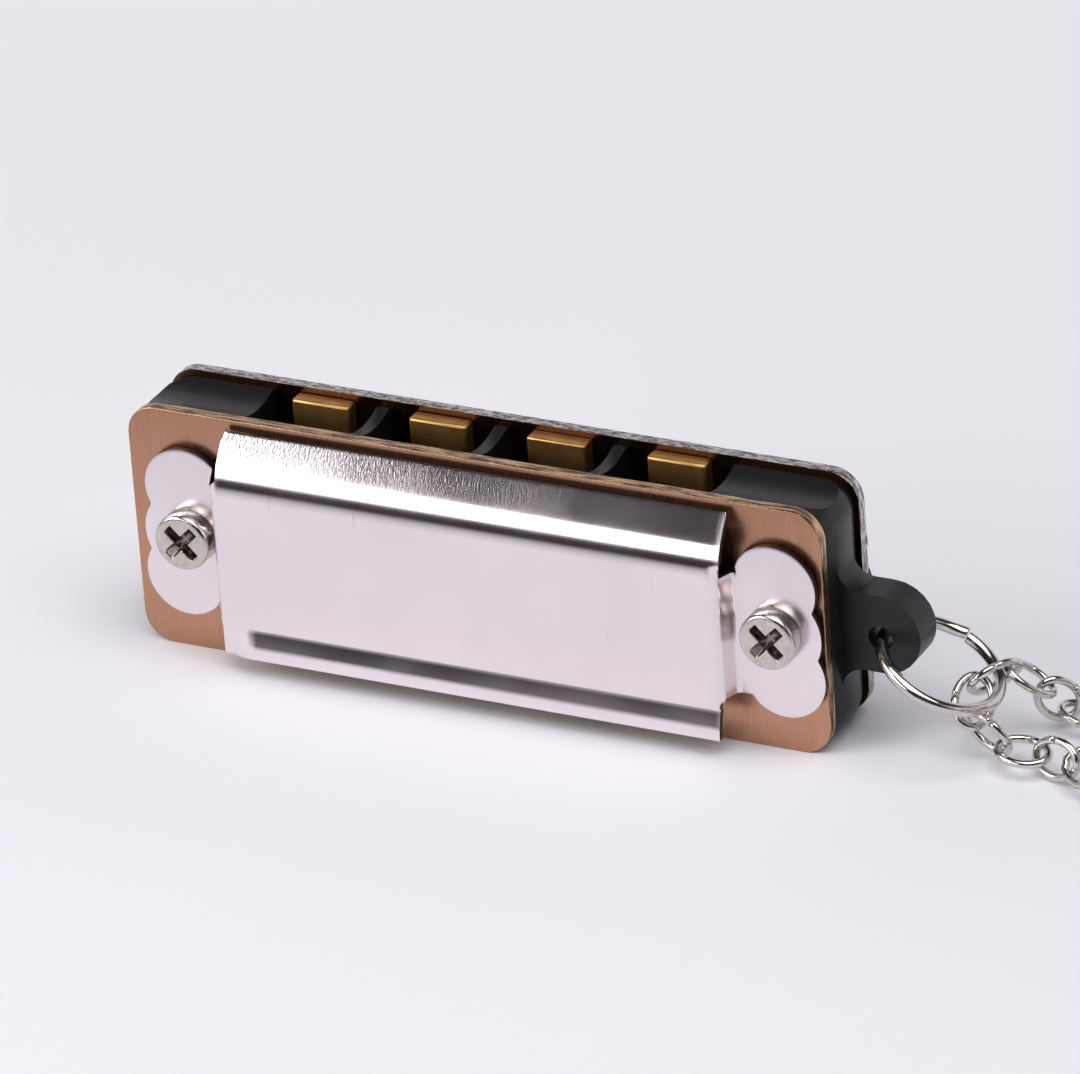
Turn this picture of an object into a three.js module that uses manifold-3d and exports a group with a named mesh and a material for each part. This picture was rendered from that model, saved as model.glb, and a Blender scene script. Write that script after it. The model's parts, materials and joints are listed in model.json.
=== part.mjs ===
// Mini harmonica pendant: a four-chamber comb, two reed plates, eight reeds, two stamped covers,
// a jump ring in the end lug and the necklace chain that is threaded through the ring.
// Millimetres, +Z up. The harmonica stands on its rear edge with the mouth holes up.
// X runs along the comb towards the lug, Y from the front cover to the back cover.
// The origin is the middle of the comb's rear face.
import * as THREE from 'three';
import { mergeVertices } from 'three/addons/utils/BufferGeometryUtils.js';
import Module from 'manifold-3d';

const wasm = await Module();
wasm.setup();

// Reed plates
const PLATE_LENGTH = 38;
const PLATE_HEIGHT = 13.2;
const PLATE_THICKNESS = 0.65;
const PLATE_CORNER = 1.6;

// Comb
const COMB_THICKNESS = 3.9;
const COMB_RIB = 1.9;
const COMB_DRAFT = 0.3;
const MOUTH_RECESS = 0.1;
const MOUTH_HOLLOW = 0.5;
const CHAMBER_COUNT = 4;
const COMB_END = 5.92;
const CHAMBER_SHIFT = -0.2;
const DIVIDER = 0.68;
const REAR_WALL = 2;

// Hanging lug, with its hole near the nose
const LUG_REACH = 4.3;
const LUG_HEIGHT = 4.2;
const LUG_MIDDLE = 6.3;
const LUG_FILLET = 1.2;
const LUG_ROOT = 1.5;
const LUG_HOLE = 1.3;
const LUG_HOLE_TO_NOSE = 2.15;
const LUG_HOLE_DROP = 0.2;

// Stamped covers
const COVER_SHIFT = 0.4;
const COVER_SHEET = 0.3;
const COVER_RISE = 1.75;
const COVER_TOP_GAP = 0.5;
const COVER_TOP_LIFT = 0.1;
const COVER_REAR_GAP = 1.1;
const FLANGE_HEIGHT = 2.1;
const LIP_HEIGHT = 1.8;
const LIP_FLARE = 0.45;
const FOLD_RADIUS = 3.3;
const LIP_RADIUS = 1.4;
const FLANGE_CORNER = 0.8;
const NECK_WIDTH = 6.8;
const NECK_DROP = 0.4;
const NECK_RADIUS = 0.5;
const NECK_SLOPE = 0.15;
const EAR_LIFT = 0.2;

// Screws and nuts, the ears' three lobes are set out from the screw
const SCREW_FROM_END = 2.9;
const SCREW_TO_COVER = 2.2;
const SCREW_SHANK = 1.6;
const SCREW_HOLE_CLEARANCE = 0.15;
const SCREW_HEAD = 3.1;
const SCREW_HEAD_HEIGHT = 0.85;
const SCREW_HEAD_TAPER = 0.05;
const SCREW_HEAD_EDGE = 0.2;
const SCREW_END = 0.3;
const CROSS_WIDTH = 0.55;
const CROSS_SPAN = 2.1;
const CROSS_DEPTH = 0.6;
const NUT_FLATS = 3.2;
const NUT_HEIGHT = 1.3;
const LOBE_UPPER = { out: 0.05, up: 2.5, radius: 2.25 };
const LOBE_MIDDLE = { out: 0, up: 0, radius: 2.5 };
const LOBE_LOWER = { out: 0.4, up: -2.3, radius: 2.2 };

// Reeds: a thick heel riveted to the plate and a thin tongue over its slot
const HEEL_WIDTH = 3.2;
const HEEL_LENGTH = 3.2;
const HEEL_THICKNESS = 0.9;
const BLOW_HEEL_SET = 0.3;
const DRAW_HEEL_SET = 1.2;
const TONGUE_WIDTH = 2;
const TONGUE_LENGTH = 6.1;
const TONGUE_STEP = 0.35;
const TONGUE_ROOT = 0.24;
const TONGUE_WAIST = 0.16;
const TONGUE_TIP = 0.2;
const TONGUE_LIFT = 0.1;
const TONGUE_ROOT_GAP = 0.05;
const SLOT_CLEARANCE = 0.15;
const RIVET_SHANK = 0.9;
const RIVET_CLEARANCE = 0.1;
const RIVET_HEAD = 1.5;
const RIVET_HEAD_HEIGHT = 0.2;
const RIVET_TO_TONGUE = 1;

// Jump ring of round wire with a butt joint
const RING_WIRE = 0.65;
const RING_MEAN = 6.24;
const RING_DROOP = 27.8;
const RING_JOINT = 0.08;
const RING_JOINT_TURN = 90;
const RING_HOLE_GAP = 0.2;

// Chain: oval wire links that pass through each other and through the ring
const LINK_LENGTH = 3.1;
const LINK_WIDTH = 2.3;
const LINK_WIRE = 0.42;
const LINK_JOINT = 0.08;
const CHAIN_WIDTH = 2.2;
const CHAIN_END_GAP = 0.6;
// Where neighbouring links bear on each other, from the ring's far side, the upper strand first
const CHAIN_JOINTS = [
  [3.95, 4.1, -2.65],
  [2.15, 4, -2.15],
  [1.45, 3.1, -0.65],
  [-0.05, 2.4, 0.55],
  [-1.35, 0.9, 0.15],
  [-1.15, -0.4, -0.95],
  [0.75, -0.7, -2.05],
  [2.75, -0.9, -2.15],
  [4.65, -1.5, -1.75],
];
// How far each link is rolled about its own length, degrees
const LINK_ROLLS = [0, 75, 175, 60, 150, 110, 10, 80];

// Hank of the chain's unseen length: oval turns in four layers that go in and out by turns, and a last
// run that comes down beside them; the run is the straight part, the outer size is a bend's radius
const HANK_X = 54.5;
const HANK_Y = 2.6;
const HANK_RUN = 20;
const HANK_OUTER = 7.5;
const HANK_TURNS = 5;
const HANK_LAYERS = 4;
const HANK_TURN_STEP = 3.1;
const HANK_LAYER_STEP = 2.65;
// How the turning is shared out: a run's share of half a turn, and the radians of a reversal and a climb
const HANK_RUN_SHARE = 0.55;
const HANK_REVERSAL = 0.6;
const HANK_CLIMB = 1.6;
const TIE_WIDTH = 3;
const TIE_THICKNESS = 0.25;
const TIE_SLACK = 0.15;
const TIE_CORNER = 0.6;
const HANK_STEPS_PER_TURN = 32;
const HANK_SIDES = 6;

// Facets of round shapes
const ARC_STEPS = 6;
const ROUND_SIDES = 24;
const SMALL_ROUND_SIDES = 16;
const WIRE_SIDES = 8;
const RING_STEPS = 40;
const LINK_SIDES = 6;
const LINK_STEPS = 20;
const CUT_MARGIN = 1;

// Sizes worked out from the values above
const PLATE_END = PLATE_LENGTH / 2;
const PLATE_MIDDLE = PLATE_HEIGHT / 2;
const PLATE_FACE = COMB_THICKNESS / 2 + PLATE_THICKNESS;
const COMB_TOP = PLATE_HEIGHT - MOUTH_RECESS;
const SCREW_HOLE = SCREW_SHANK + 2 * SCREW_HOLE_CLEARANCE;
const RIVET_HOLE = RIVET_SHANK + 2 * RIVET_CLEARANCE;
const EAR_BACK = PLATE_FACE + EAR_LIFT;
const EAR_FACE = EAR_BACK + COVER_SHEET;
const LUG_NOSE = PLATE_END + LUG_REACH;
const LUG_HOLE_X = LUG_NOSE - LUG_HOLE_TO_NOSE;
const LUG_HOLE_Z = LUG_MIDDLE - LUG_HOLE_DROP;
const SCREW_OUT = PLATE_END - SCREW_FROM_END;
const COVER_LENGTH = 2 * (SCREW_OUT - SCREW_TO_COVER);
const HANK_FLOOR = CHAIN_WIDTH / 2 + TIE_THICKNESS + TIE_SLACK;
const HANK_LAST = HANK_OUTER + HANK_TURN_STEP;
const CHAMBER_PITCH = (PLATE_LENGTH - 2 * COMB_END) / CHAMBER_COUNT;

const BLACK_PLASTIC = { color: 0x1b1a1d, roughness: 0.42, metalness: 0 };
const COPPER_PLATE = { color: 0x9c6f55, roughness: 0.45, metalness: 0.9 };
const BRIGHT_STEEL = { color: 0xd2cfd4, roughness: 0.14, metalness: 1 };
const SCREW_STEEL = { color: 0xc4bfc0, roughness: 0.22, metalness: 1 };
const REED_BRASS = { color: 0xb08a45, roughness: 0.35, metalness: 1 };
const CHAIN_STEEL = { color: 0xc9c7c9, roughness: 0.16, metalness: 1 };
const TIE_PAPER = { color: 0x2a292b, roughness: 0.7, metalness: 0 };

const harmonica = new THREE.Group();

function add(name, geometry, finish, parent = harmonica) {
  const mesh = new THREE.Mesh(geometry, new THREE.MeshStandardMaterial(finish));
  mesh.name = name;
  parent.add(mesh);
  return mesh;
}

// Closed solid for cutting and joining, with the shared corners merged
function solid(geometry) {
  const shell = geometry.clone();
  shell.deleteAttribute('normal');
  shell.deleteAttribute('uv');
  const merged = mergeVertices(shell);
  return new wasm.Manifold(new wasm.Mesh({
    numProp: 3,
    vertProperties: merged.attributes.position.array,
    triVerts: merged.index.array,
  }));
}

function geometryOf(manifold) {
  const mesh = manifold.getMesh();
  const geometry = new THREE.BufferGeometry();
  geometry.setAttribute('position', new THREE.BufferAttribute(mesh.vertProperties, 3));
  geometry.setIndex(new THREE.BufferAttribute(mesh.triVerts, 1));
  return geometry;
}

// A shape drawn in X and Z, made thick along Y from front to back
function slab(shape, front, back, extra = {}) {
  const settings = { depth: back - front, bevelEnabled: false, curveSegments: ARC_STEPS, ...extra };
  return new THREE.ExtrudeGeometry(shape, settings).rotateX(Math.PI / 2).translate(0, back, 0);
}

// A shape drawn in Y and Z, carried along X from one end to the other
function section(shape, start, end) {
  const settings = { depth: end - start, bevelEnabled: false };
  const axes = new THREE.Matrix4().makeBasis(
    new THREE.Vector3(0, 1, 0),
    new THREE.Vector3(0, 0, 1),
    new THREE.Vector3(1, 0, 0),
  );
  return new THREE.ExtrudeGeometry(shape, settings).applyMatrix4(axes).translate(start, 0, 0);
}

function roundedRectangle(left, right, bottom, top, radius) {
  const shape = new THREE.Shape();
  shape.moveTo(left + radius, bottom);
  shape.lineTo(right - radius, bottom);
  shape.absarc(right - radius, bottom + radius, radius, -Math.PI / 2, 0);
  shape.lineTo(right, top - radius);
  shape.absarc(right - radius, top - radius, radius, 0, Math.PI / 2);
  shape.lineTo(left + radius, top);
  shape.absarc(left + radius, top - radius, radius, Math.PI / 2, Math.PI);
  shape.lineTo(left, bottom + radius);
  shape.absarc(left + radius, bottom + radius, radius, Math.PI, 1.5 * Math.PI);
  return shape;
}

// Round bar along Y
function barAlongY(diameter, length, sides) {
  return new THREE.CylinderGeometry(diameter / 2, diameter / 2, length, sides);
}

// Round piece about Y, from pairs of radius and Y that start and end on the axis with Y rising
function turned(pairs, sides) {
  const points = pairs.map(([radius, y]) => new THREE.Vector2(radius, y));
  return new THREE.LatheGeometry(points, sides);
}

// Bent sheet: a line with rounded bends, given half the sheet's thickness on each side
function bentSheet(corners, radii, thickness) {
  const line = [];
  for (let i = 0; i < corners.length; i++) {
    const here = new THREE.Vector2(...corners[i]);
    if (i === 0 || i === corners.length - 1) {
      const other = new THREE.Vector2(...corners[i === 0 ? 1 : i - 1]);
      const along = (i === 0 ? other.sub(here) : here.clone().sub(other)).normalize();
      line.push({ at: here, side: new THREE.Vector2(-along.y, along.x) });
    } else {
      line.push(...bend(corners[i - 1], corners[i], corners[i + 1], radii[i - 1]));
    }
  }
  const left = line.map((point) => point.at.clone().addScaledVector(point.side, thickness / 2));
  const right = line.map((point) => point.at.clone().addScaledVector(point.side, -thickness / 2));
  return new THREE.Shape([...left, ...right.reverse()]);
}

// Points and side directions round one bend of a sheet
function bend(before, corner, after, radius) {
  const here = new THREE.Vector2(...corner);
  const into = here.clone().sub(new THREE.Vector2(...before)).normalize();
  const out = new THREE.Vector2(...after).sub(here).normalize();
  const turn = Math.atan2(into.cross(out), into.dot(out));
  const setback = radius * Math.tan(Math.abs(turn) / 2);
  const hand = Math.sign(turn);
  const start = here.clone().addScaledVector(into, -setback);
  const side = new THREE.Vector2(-into.y, into.x);
  const centre = start.clone().addScaledVector(side, hand * radius);
  const points = [];
  for (let k = 0; k <= ARC_STEPS; k++) {
    const across = side.clone().rotateAround(new THREE.Vector2(), turn * k / ARC_STEPS);
    points.push({ at: centre.clone().addScaledVector(across, -hand * radius), side: across });
  }
  return points;
}

// Comb: moulded body with drafted sides, open chambers and the lug
function combGeometry() {
  const outline = roundedRectangle(-PLATE_END, PLATE_END, 0, COMB_TOP, PLATE_CORNER);
  const draftDepth = (COMB_THICKNESS - COMB_RIB) / 2;
  let body = solid(slab(outline, -COMB_RIB / 2, COMB_RIB / 2, {
    bevelEnabled: true,
    bevelThickness: draftDepth,
    bevelSize: COMB_DRAFT,
    bevelOffset: -COMB_DRAFT,
    bevelSegments: 1,
  }));
  body = body.add(solid(slab(lugShape(), -COMB_RIB / 2, COMB_RIB / 2)));
  const depth = COMB_TOP - REAR_WALL + CUT_MARGIN;
  for (let i = 0; i < CHAMBER_COUNT; i++) {
    const chamber = new THREE.BoxGeometry(CHAMBER_PITCH - DIVIDER, COMB_THICKNESS + CUT_MARGIN, depth);
    body = body.subtract(solid(chamber.translate(chamberX(i), 0, REAR_WALL + depth / 2)));
  }
  const half = COMB_THICKNESS / 2;
  const hollowRadius = (half * half + MOUTH_HOLLOW * MOUTH_HOLLOW) / (2 * MOUTH_HOLLOW);
  const hollow = barAlongY(2 * hollowRadius, PLATE_LENGTH + CUT_MARGIN, 2 * ROUND_SIDES);
  hollow.rotateZ(Math.PI / 2).translate(0, 0, COMB_TOP + hollowRadius - MOUTH_HOLLOW);
  body = body.subtract(solid(hollow));
  for (const side of [-1, 1]) {
    const hole = barAlongY(SCREW_HOLE, COMB_THICKNESS + CUT_MARGIN, SMALL_ROUND_SIDES);
    body = body.subtract(solid(hole.translate(screwX(side), 0, PLATE_MIDDLE)));
  }
  const hangingHole = barAlongY(LUG_HOLE, COMB_RIB + CUT_MARGIN, ROUND_SIDES);
  return geometryOf(body.subtract(solid(hangingHole.translate(LUG_HOLE_X, 0, LUG_HOLE_Z))));
}

// Lug outline: fillets out of the comb's end into a round nose
function lugShape() {
  const half = LUG_HEIGHT / 2;
  const shape = new THREE.Shape();
  const low = LUG_MIDDLE - half;
  const high = LUG_MIDDLE + half;
  shape.moveTo(PLATE_END - LUG_ROOT, low - LUG_FILLET);
  shape.lineTo(PLATE_END, low - LUG_FILLET);
  shape.absarc(PLATE_END + LUG_FILLET, low - LUG_FILLET, LUG_FILLET, Math.PI, Math.PI / 2, true);
  shape.absarc(LUG_NOSE - half, LUG_MIDDLE, half, -Math.PI / 2, Math.PI / 2);
  shape.absarc(PLATE_END + LUG_FILLET, high + LUG_FILLET, LUG_FILLET, -Math.PI / 2, -Math.PI, true);
  shape.lineTo(PLATE_END - LUG_ROOT, high + LUG_FILLET);
  return shape;
}

function chamberX(index) {
  return CHAMBER_SHIFT + (index - (CHAMBER_COUNT - 1) / 2) * CHAMBER_PITCH;
}

function screwX(side) {
  return COVER_SHIFT + side * SCREW_OUT;
}

function tongueLength(index) {
  return TONGUE_LENGTH - index * TONGUE_STEP;
}

// A reed's heights: its heel from root to back, its rivet and its tongue, blow reeds hanging down
const BLOW = {
  name: 'blow',
  face: COMB_THICKNESS / 2,
  out: -1,
  along: -1,
  heel: PLATE_HEIGHT - BLOW_HEEL_SET,
};
const DRAW = {
  name: 'draw',
  face: -PLATE_FACE,
  out: -1,
  along: 1,
  heel: DRAW_HEEL_SET,
};

function rivetZ(kind) {
  return kind.heel + kind.along * (HEEL_LENGTH - RIVET_TO_TONGUE);
}

function tongueRootZ(kind) {
  return kind.heel + kind.along * (HEEL_LENGTH + TONGUE_ROOT_GAP);
}

// Reed plate with a slot and a rivet hole for each reed and the two screw holes
function plateGeometry(kind, front) {
  const shape = roundedRectangle(-PLATE_END, PLATE_END, 0, PLATE_HEIGHT, PLATE_CORNER);
  let plate = solid(slab(shape, front, front + PLATE_THICKNESS));
  const middle = front + PLATE_THICKNESS / 2;
  const cutDepth = PLATE_THICKNESS + CUT_MARGIN;
  for (let i = 0; i < CHAMBER_COUNT; i++) {
    const length = tongueLength(i) + SLOT_CLEARANCE;
    const slot = new THREE.BoxGeometry(TONGUE_WIDTH + 2 * SLOT_CLEARANCE, cutDepth, length);
    slot.translate(chamberX(i), middle, tongueRootZ(kind) + kind.along * length / 2);
    const hole = barAlongY(RIVET_HOLE, cutDepth, SMALL_ROUND_SIDES);
    hole.translate(chamberX(i), middle, rivetZ(kind));
    plate = plate.subtract(solid(slot)).subtract(solid(hole));
  }
  for (const side of [-1, 1]) {
    const hole = barAlongY(SCREW_HOLE, cutDepth, SMALL_ROUND_SIDES);
    plate = plate.subtract(solid(hole.translate(screwX(side), middle, PLATE_MIDDLE)));
  }
  return geometryOf(plate);
}

// Heel block with its rivet hole
function heelGeometry(kind, index) {
  const x = chamberX(index);
  const y = kind.face - HEEL_THICKNESS / 2;
  const block = new THREE.BoxGeometry(HEEL_WIDTH, HEEL_THICKNESS, HEEL_LENGTH);
  block.translate(x, y, kind.heel + kind.along * HEEL_LENGTH / 2);
  const hole = barAlongY(RIVET_HOLE, HEEL_THICKNESS + CUT_MARGIN, SMALL_ROUND_SIDES);
  return geometryOf(solid(block).subtract(solid(hole.translate(x, y, rivetZ(kind)))));
}

// Tongue: a strip that is thickest at its root and thinned at its waist, carried across its width
function tongueGeometry(kind, index) {
  const under = kind.face + kind.out * TONGUE_LIFT;
  const reach = kind.along * tongueLength(index);
  const outline = [[0, 0], [TONGUE_ROOT, 0], [TONGUE_WAIST, 0.5], [TONGUE_TIP, 1], [0, 1]];
  const points = outline.map(([rise, share]) => new THREE.Vector2(
    under + kind.out * rise,
    tongueRootZ(kind) + reach * share,
  ));
  const x = chamberX(index);
  return section(new THREE.Shape(points), x - TONGUE_WIDTH / 2, x + TONGUE_WIDTH / 2);
}

// Rivet through plate and heel, with a low head on each side
function rivetGeometry(kind, index) {
  const near = kind.face - HEEL_THICKNESS;
  const far = kind.face + PLATE_THICKNESS;
  const head = RIVET_HEAD / 2;
  const shank = RIVET_SHANK / 2;
  const crown = 0.6 * head;
  const pairs = [
    [0, near - RIVET_HEAD_HEIGHT],
    [crown, near - RIVET_HEAD_HEIGHT],
    [head, near],
    [shank, near],
    [shank, far],
    [head, far],
    [crown, far + RIVET_HEAD_HEIGHT],
    [0, far + RIVET_HEAD_HEIGHT],
  ];
  return turned(pairs, SMALL_ROUND_SIDES).translate(chamberX(index), 0, rivetZ(kind));
}

// Cover: a folded sheet cut to rounded corners, with a stepped neck and a lobed ear at each end
function coverGeometry() {
  const left = COVER_SHIFT - COVER_LENGTH / 2;
  const right = COVER_SHIFT + COVER_LENGTH / 2;
  const top = PLATE_HEIGHT - COVER_TOP_GAP;
  const flat = PLATE_FACE + COVER_RISE - COVER_SHEET / 2;
  const lift = PLATE_FACE + COVER_TOP_LIFT + COVER_SHEET / 2;
  const profile = bentSheet([
    [-lift, top],
    [-flat, top - FLANGE_HEIGHT],
    [-flat, COVER_REAR_GAP + LIP_HEIGHT],
    [-flat - LIP_FLARE, COVER_REAR_GAP],
  ], [FOLD_RADIUS, LIP_RADIUS], COVER_SHEET);
  const reach = flat + LIP_FLARE + COVER_SHEET;
  const blank = roundedRectangle(left, right, 0, top + COVER_SHEET / 2, FLANGE_CORNER);
  const trim = solid(slab(blank, -reach, -COMB_THICKNESS / 2));
  let cover = solid(section(profile, left, right)).intersect(trim);
  for (const side of [-1, 1]) {
    cover = cover.subtract(neckNotch(side)).add(neckSolid(side, flat)).add(earSolid(side));
    const hole = barAlongY(SCREW_HOLE, COVER_SHEET + CUT_MARGIN, SMALL_ROUND_SIDES);
    hole.translate(screwX(side), -EAR_BACK - COVER_SHEET / 2, PLATE_MIDDLE);
    cover = cover.subtract(solid(hole));
  }
  return geometryOf(cover);
}

// Where the neck's wall stands, and the room for its bend in the flat face
function neckWall(side) {
  return COVER_SHIFT + side * (COVER_LENGTH / 2 - COVER_SHEET / 2);
}

function neckNotch(side) {
  const width = COVER_LENGTH / 2;
  const box = new THREE.BoxGeometry(width, COVER_RISE + LIP_FLARE, NECK_WIDTH);
  const x = neckWall(side) + side * (width / 2 - NECK_RADIUS);
  return solid(box.translate(x, -PLATE_FACE - (COVER_RISE + LIP_FLARE) / 2, PLATE_MIDDLE - NECK_DROP));
}

// Neck: the sheet steps down from the flat face towards the plate
function neckSolid(side, flat) {
  const ear = EAR_BACK + COVER_SHEET / 2;
  const wall = neckWall(side);
  const corners = [
    [wall - side * 2 * NECK_RADIUS, -flat],
    [wall, -flat],
    [wall + side * NECK_SLOPE, -ear],
    [wall + side * (NECK_SLOPE + 2 * NECK_RADIUS), -ear],
  ];
  const shape = bentSheet(side > 0 ? corners : corners.reverse(), [NECK_RADIUS, NECK_RADIUS], COVER_SHEET);
  const settings = { depth: NECK_WIDTH, bevelEnabled: false };
  const low = PLATE_MIDDLE - NECK_DROP - NECK_WIDTH / 2;
  return solid(new THREE.ExtrudeGeometry(shape, settings).translate(0, 0, low));
}

// Ear: three round lobes joined to the neck, a little clear of the plate
function earSolid(side) {
  const start = neckWall(side) + side * (NECK_SLOPE + NECK_RADIUS);
  const web = new THREE.BoxGeometry(Math.abs(screwX(side) - start), COVER_SHEET, NECK_WIDTH);
  web.translate((start + screwX(side)) / 2, -EAR_BACK - COVER_SHEET / 2, PLATE_MIDDLE - NECK_DROP);
  let ear = solid(web);
  for (const lobe of [LOBE_UPPER, LOBE_MIDDLE, LOBE_LOWER]) {
    const disc = barAlongY(2 * lobe.radius, COVER_SHEET, 2 * ROUND_SIDES);
    disc.translate(screwX(side) + side * lobe.out, -EAR_BACK - COVER_SHEET / 2, PLATE_MIDDLE + lobe.up);
    ear = ear.add(solid(disc));
  }
  return ear;
}

// Screw with a cheese head and a cross recess, its head on the front ear
function screwGeometry() {
  const base = SCREW_HEAD / 2;
  const topRadius = base - SCREW_HEAD_TAPER;
  const top = -EAR_FACE - SCREW_HEAD_HEIGHT;
  const pairs = [
    [0, top],
    [topRadius - SCREW_HEAD_EDGE, top],
    [topRadius, top + SCREW_HEAD_EDGE],
    [base, -EAR_FACE],
    [SCREW_SHANK / 2, -EAR_FACE],
    [SCREW_SHANK / 2, EAR_FACE + NUT_HEIGHT + SCREW_END],
    [0, EAR_FACE + NUT_HEIGHT + SCREW_END],
  ];
  let screw = solid(turned(pairs, ROUND_SIDES));
  for (const turn of [-1, 1]) {
    const wing = new THREE.BoxGeometry(CROSS_SPAN, 2 * CROSS_DEPTH, CROSS_WIDTH);
    wing.rotateY(turn * Math.PI / 4).translate(0, top, 0);
    screw = screw.subtract(solid(wing));
  }
  return geometryOf(screw);
}

function nutGeometry() {
  const nut = barAlongY(NUT_FLATS / Math.cos(Math.PI / 6), NUT_HEIGHT, 6);
  const bore = barAlongY(SCREW_HOLE, NUT_HEIGHT + CUT_MARGIN, SMALL_ROUND_SIDES);
  return geometryOf(solid(nut).subtract(solid(bore))).translate(0, EAR_FACE + NUT_HEIGHT / 2, 0);
}

// Open round hoop in its own XY plane, starting and ending at its butt joint
class Hoop extends THREE.Curve {
  constructor(radius, joint, turn) {
    super();
    this.radius = radius;
    this.start = turn + joint / (2 * radius);
    this.sweep = 2 * Math.PI - joint / radius;
  }

  getPoint(t, target = new THREE.Vector3()) {
    const angle = this.start + t * this.sweep;
    return target.set(this.radius * Math.cos(angle), this.radius * Math.sin(angle), 0);
  }
}

// Oval link in its own XY plane, with a fine butt joint in one long side
class LinkLine extends THREE.Curve {
  constructor(length, width, joint) {
    super();
    this.long = length / 2;
    this.wide = width / 2;
    this.gap = joint / this.long;
  }

  getPoint(t, target = new THREE.Vector3()) {
    const angle = Math.PI / 2 + this.gap / 2 + t * (2 * Math.PI - this.gap);
    return target.set(this.long * Math.cos(angle), this.wide * Math.sin(angle), 0);
  }
}

function wire(curve, diameter, sides, steps) {
  const points = [];
  for (let i = 0; i < sides; i++) {
    const angle = 2 * Math.PI * i / sides;
    points.push(new THREE.Vector2(diameter / 2 * Math.cos(angle), diameter / 2 * Math.sin(angle)));
  }
  const shape = new THREE.Shape(points);
  return new THREE.ExtrudeGeometry(shape, { steps, extrudePath: curve, bevelEnabled: false });
}

// Chain hank: straight lead, oval turns layer by layer, a last run down to the floor, straight lead
class HankLine extends THREE.Curve {
  constructor(from, to) {
    super();
    this.from = from;
    this.to = to;
    this.layerSweep = 2 * Math.PI * HANK_TURNS / HANK_LAYERS;
    const enter = this.touch(from, HANK_OUTER, -1) / Math.PI;
    const leave = this.touch(to, HANK_LAST, 1) / Math.PI;
    const bendShare = 1 - HANK_RUN_SHARE;
    this.start = Math.PI * (HANK_RUN_SHARE - 1 + bendShare * (1.5 - enter));
    this.end = Math.PI * (2 * HANK_TURNS + 1 + HANK_RUN_SHARE - bendShare * (0.5 + leave));
    this.leadIn = this.winding(0).distanceTo(from);
    this.leadOut = this.winding(1).distanceTo(to);
    this.wound = (this.end - this.start) * (HANK_RUN / Math.PI + (HANK_OUTER + this.inner()) / 2);
    this.arcLengthDivisions = 6000;
  }

  inner() {
    return HANK_OUTER - HANK_TURN_STEP * HANK_TURNS / HANK_LAYERS;
  }

  // Angle where a straight lead from a point touches a bend at the hank's near end
  touch(point, radius, hand) {
    const dx = point.x - HANK_X + HANK_RUN / 2;
    const dy = point.y - HANK_Y;
    return Math.atan2(dy, dx) + hand * Math.acos(radius / Math.hypot(dx, dy));
  }

  // Bend radius: in and out by layers with rounded reversals, then one step further out
  radius(turned) {
    const wound = HANK_LAYERS * this.layerSweep;
    const layer = THREE.MathUtils.clamp(turned, 0, wound) / this.layerSweep;
    const rounding = HANK_REVERSAL / this.layerSweep;
    const wave = Math.acos(Math.cos(Math.PI * rounding) * Math.cos(Math.PI * layer)) / Math.PI;
    const inward = (wave - rounding) * this.layerSweep / (2 * Math.PI);
    const outward = THREE.MathUtils.smoothstep(turned, wound, wound + Math.PI);
    return HANK_OUTER + HANK_TURN_STEP * (outward - inward);
  }

  // Height: one layer up at each reversal, and down to the floor on the last run
  height(turned) {
    const wound = HANK_LAYERS * this.layerSweep;
    const lastRun = wound + Math.PI;
    let layers = 0;
    for (let i = 1; i < HANK_LAYERS; i++) {
      const middle = i * this.layerSweep;
      layers += THREE.MathUtils.smoothstep(turned, middle - HANK_CLIMB, middle + HANK_CLIMB);
    }
    const down = THREE.MathUtils.smoothstep(turned, lastRun, lastRun + Math.PI * HANK_RUN_SHARE);
    return HANK_FLOOR + HANK_LAYER_STEP * (layers - (HANK_LAYERS - 1) * down);
  }

  // Point of the winding, by its share of the whole turning: each half turn is a run and then a bend
  winding(share) {
    const turned = THREE.MathUtils.lerp(this.start, this.end, share);
    const half = Math.floor(turned / Math.PI);
    const part = turned / Math.PI - half;
    const side = half % 2 === 0 ? 1 : -1;
    const run = Math.min(part / HANK_RUN_SHARE, 1) - 0.5;
    const bend = Math.max(part - HANK_RUN_SHARE, 0) / (1 - HANK_RUN_SHARE);
    const angle = Math.PI * (0.5 - half - bend);
    const radius = this.radius(turned);
    return new THREE.Vector3(
      HANK_X + side * HANK_RUN * run + radius * Math.cos(angle),
      HANK_Y + radius * Math.sin(angle),
      this.height(turned),
    );
  }

  getPoint(t, target = new THREE.Vector3()) {
    const total = this.leadIn + this.wound + this.leadOut;
    const along = t * total;
    if (along < this.leadIn) {
      return target.lerpVectors(this.from, this.winding(0), along / this.leadIn);
    }
    if (along > this.leadIn + this.wound) {
      const left = along - this.leadIn - this.wound;
      return target.lerpVectors(this.winding(1), this.to, left / this.leadOut);
    }
    return target.copy(this.winding((along - this.leadIn) / this.wound));
  }
}

// Least clear distance of a tube to itself, measured on points that are further apart along it
function leastGap(points, diameter) {
  let least = Infinity;
  for (let i = 0; i < points.length; i++) {
    let along = 0;
    for (let j = i + 1; j < points.length; j++) {
      along += points[j].distanceTo(points[j - 1]);
      if (along > Math.PI * diameter) {
        least = Math.min(least, points[i].distanceTo(points[j]) - diameter);
      }
    }
  }
  return least;
}

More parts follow.
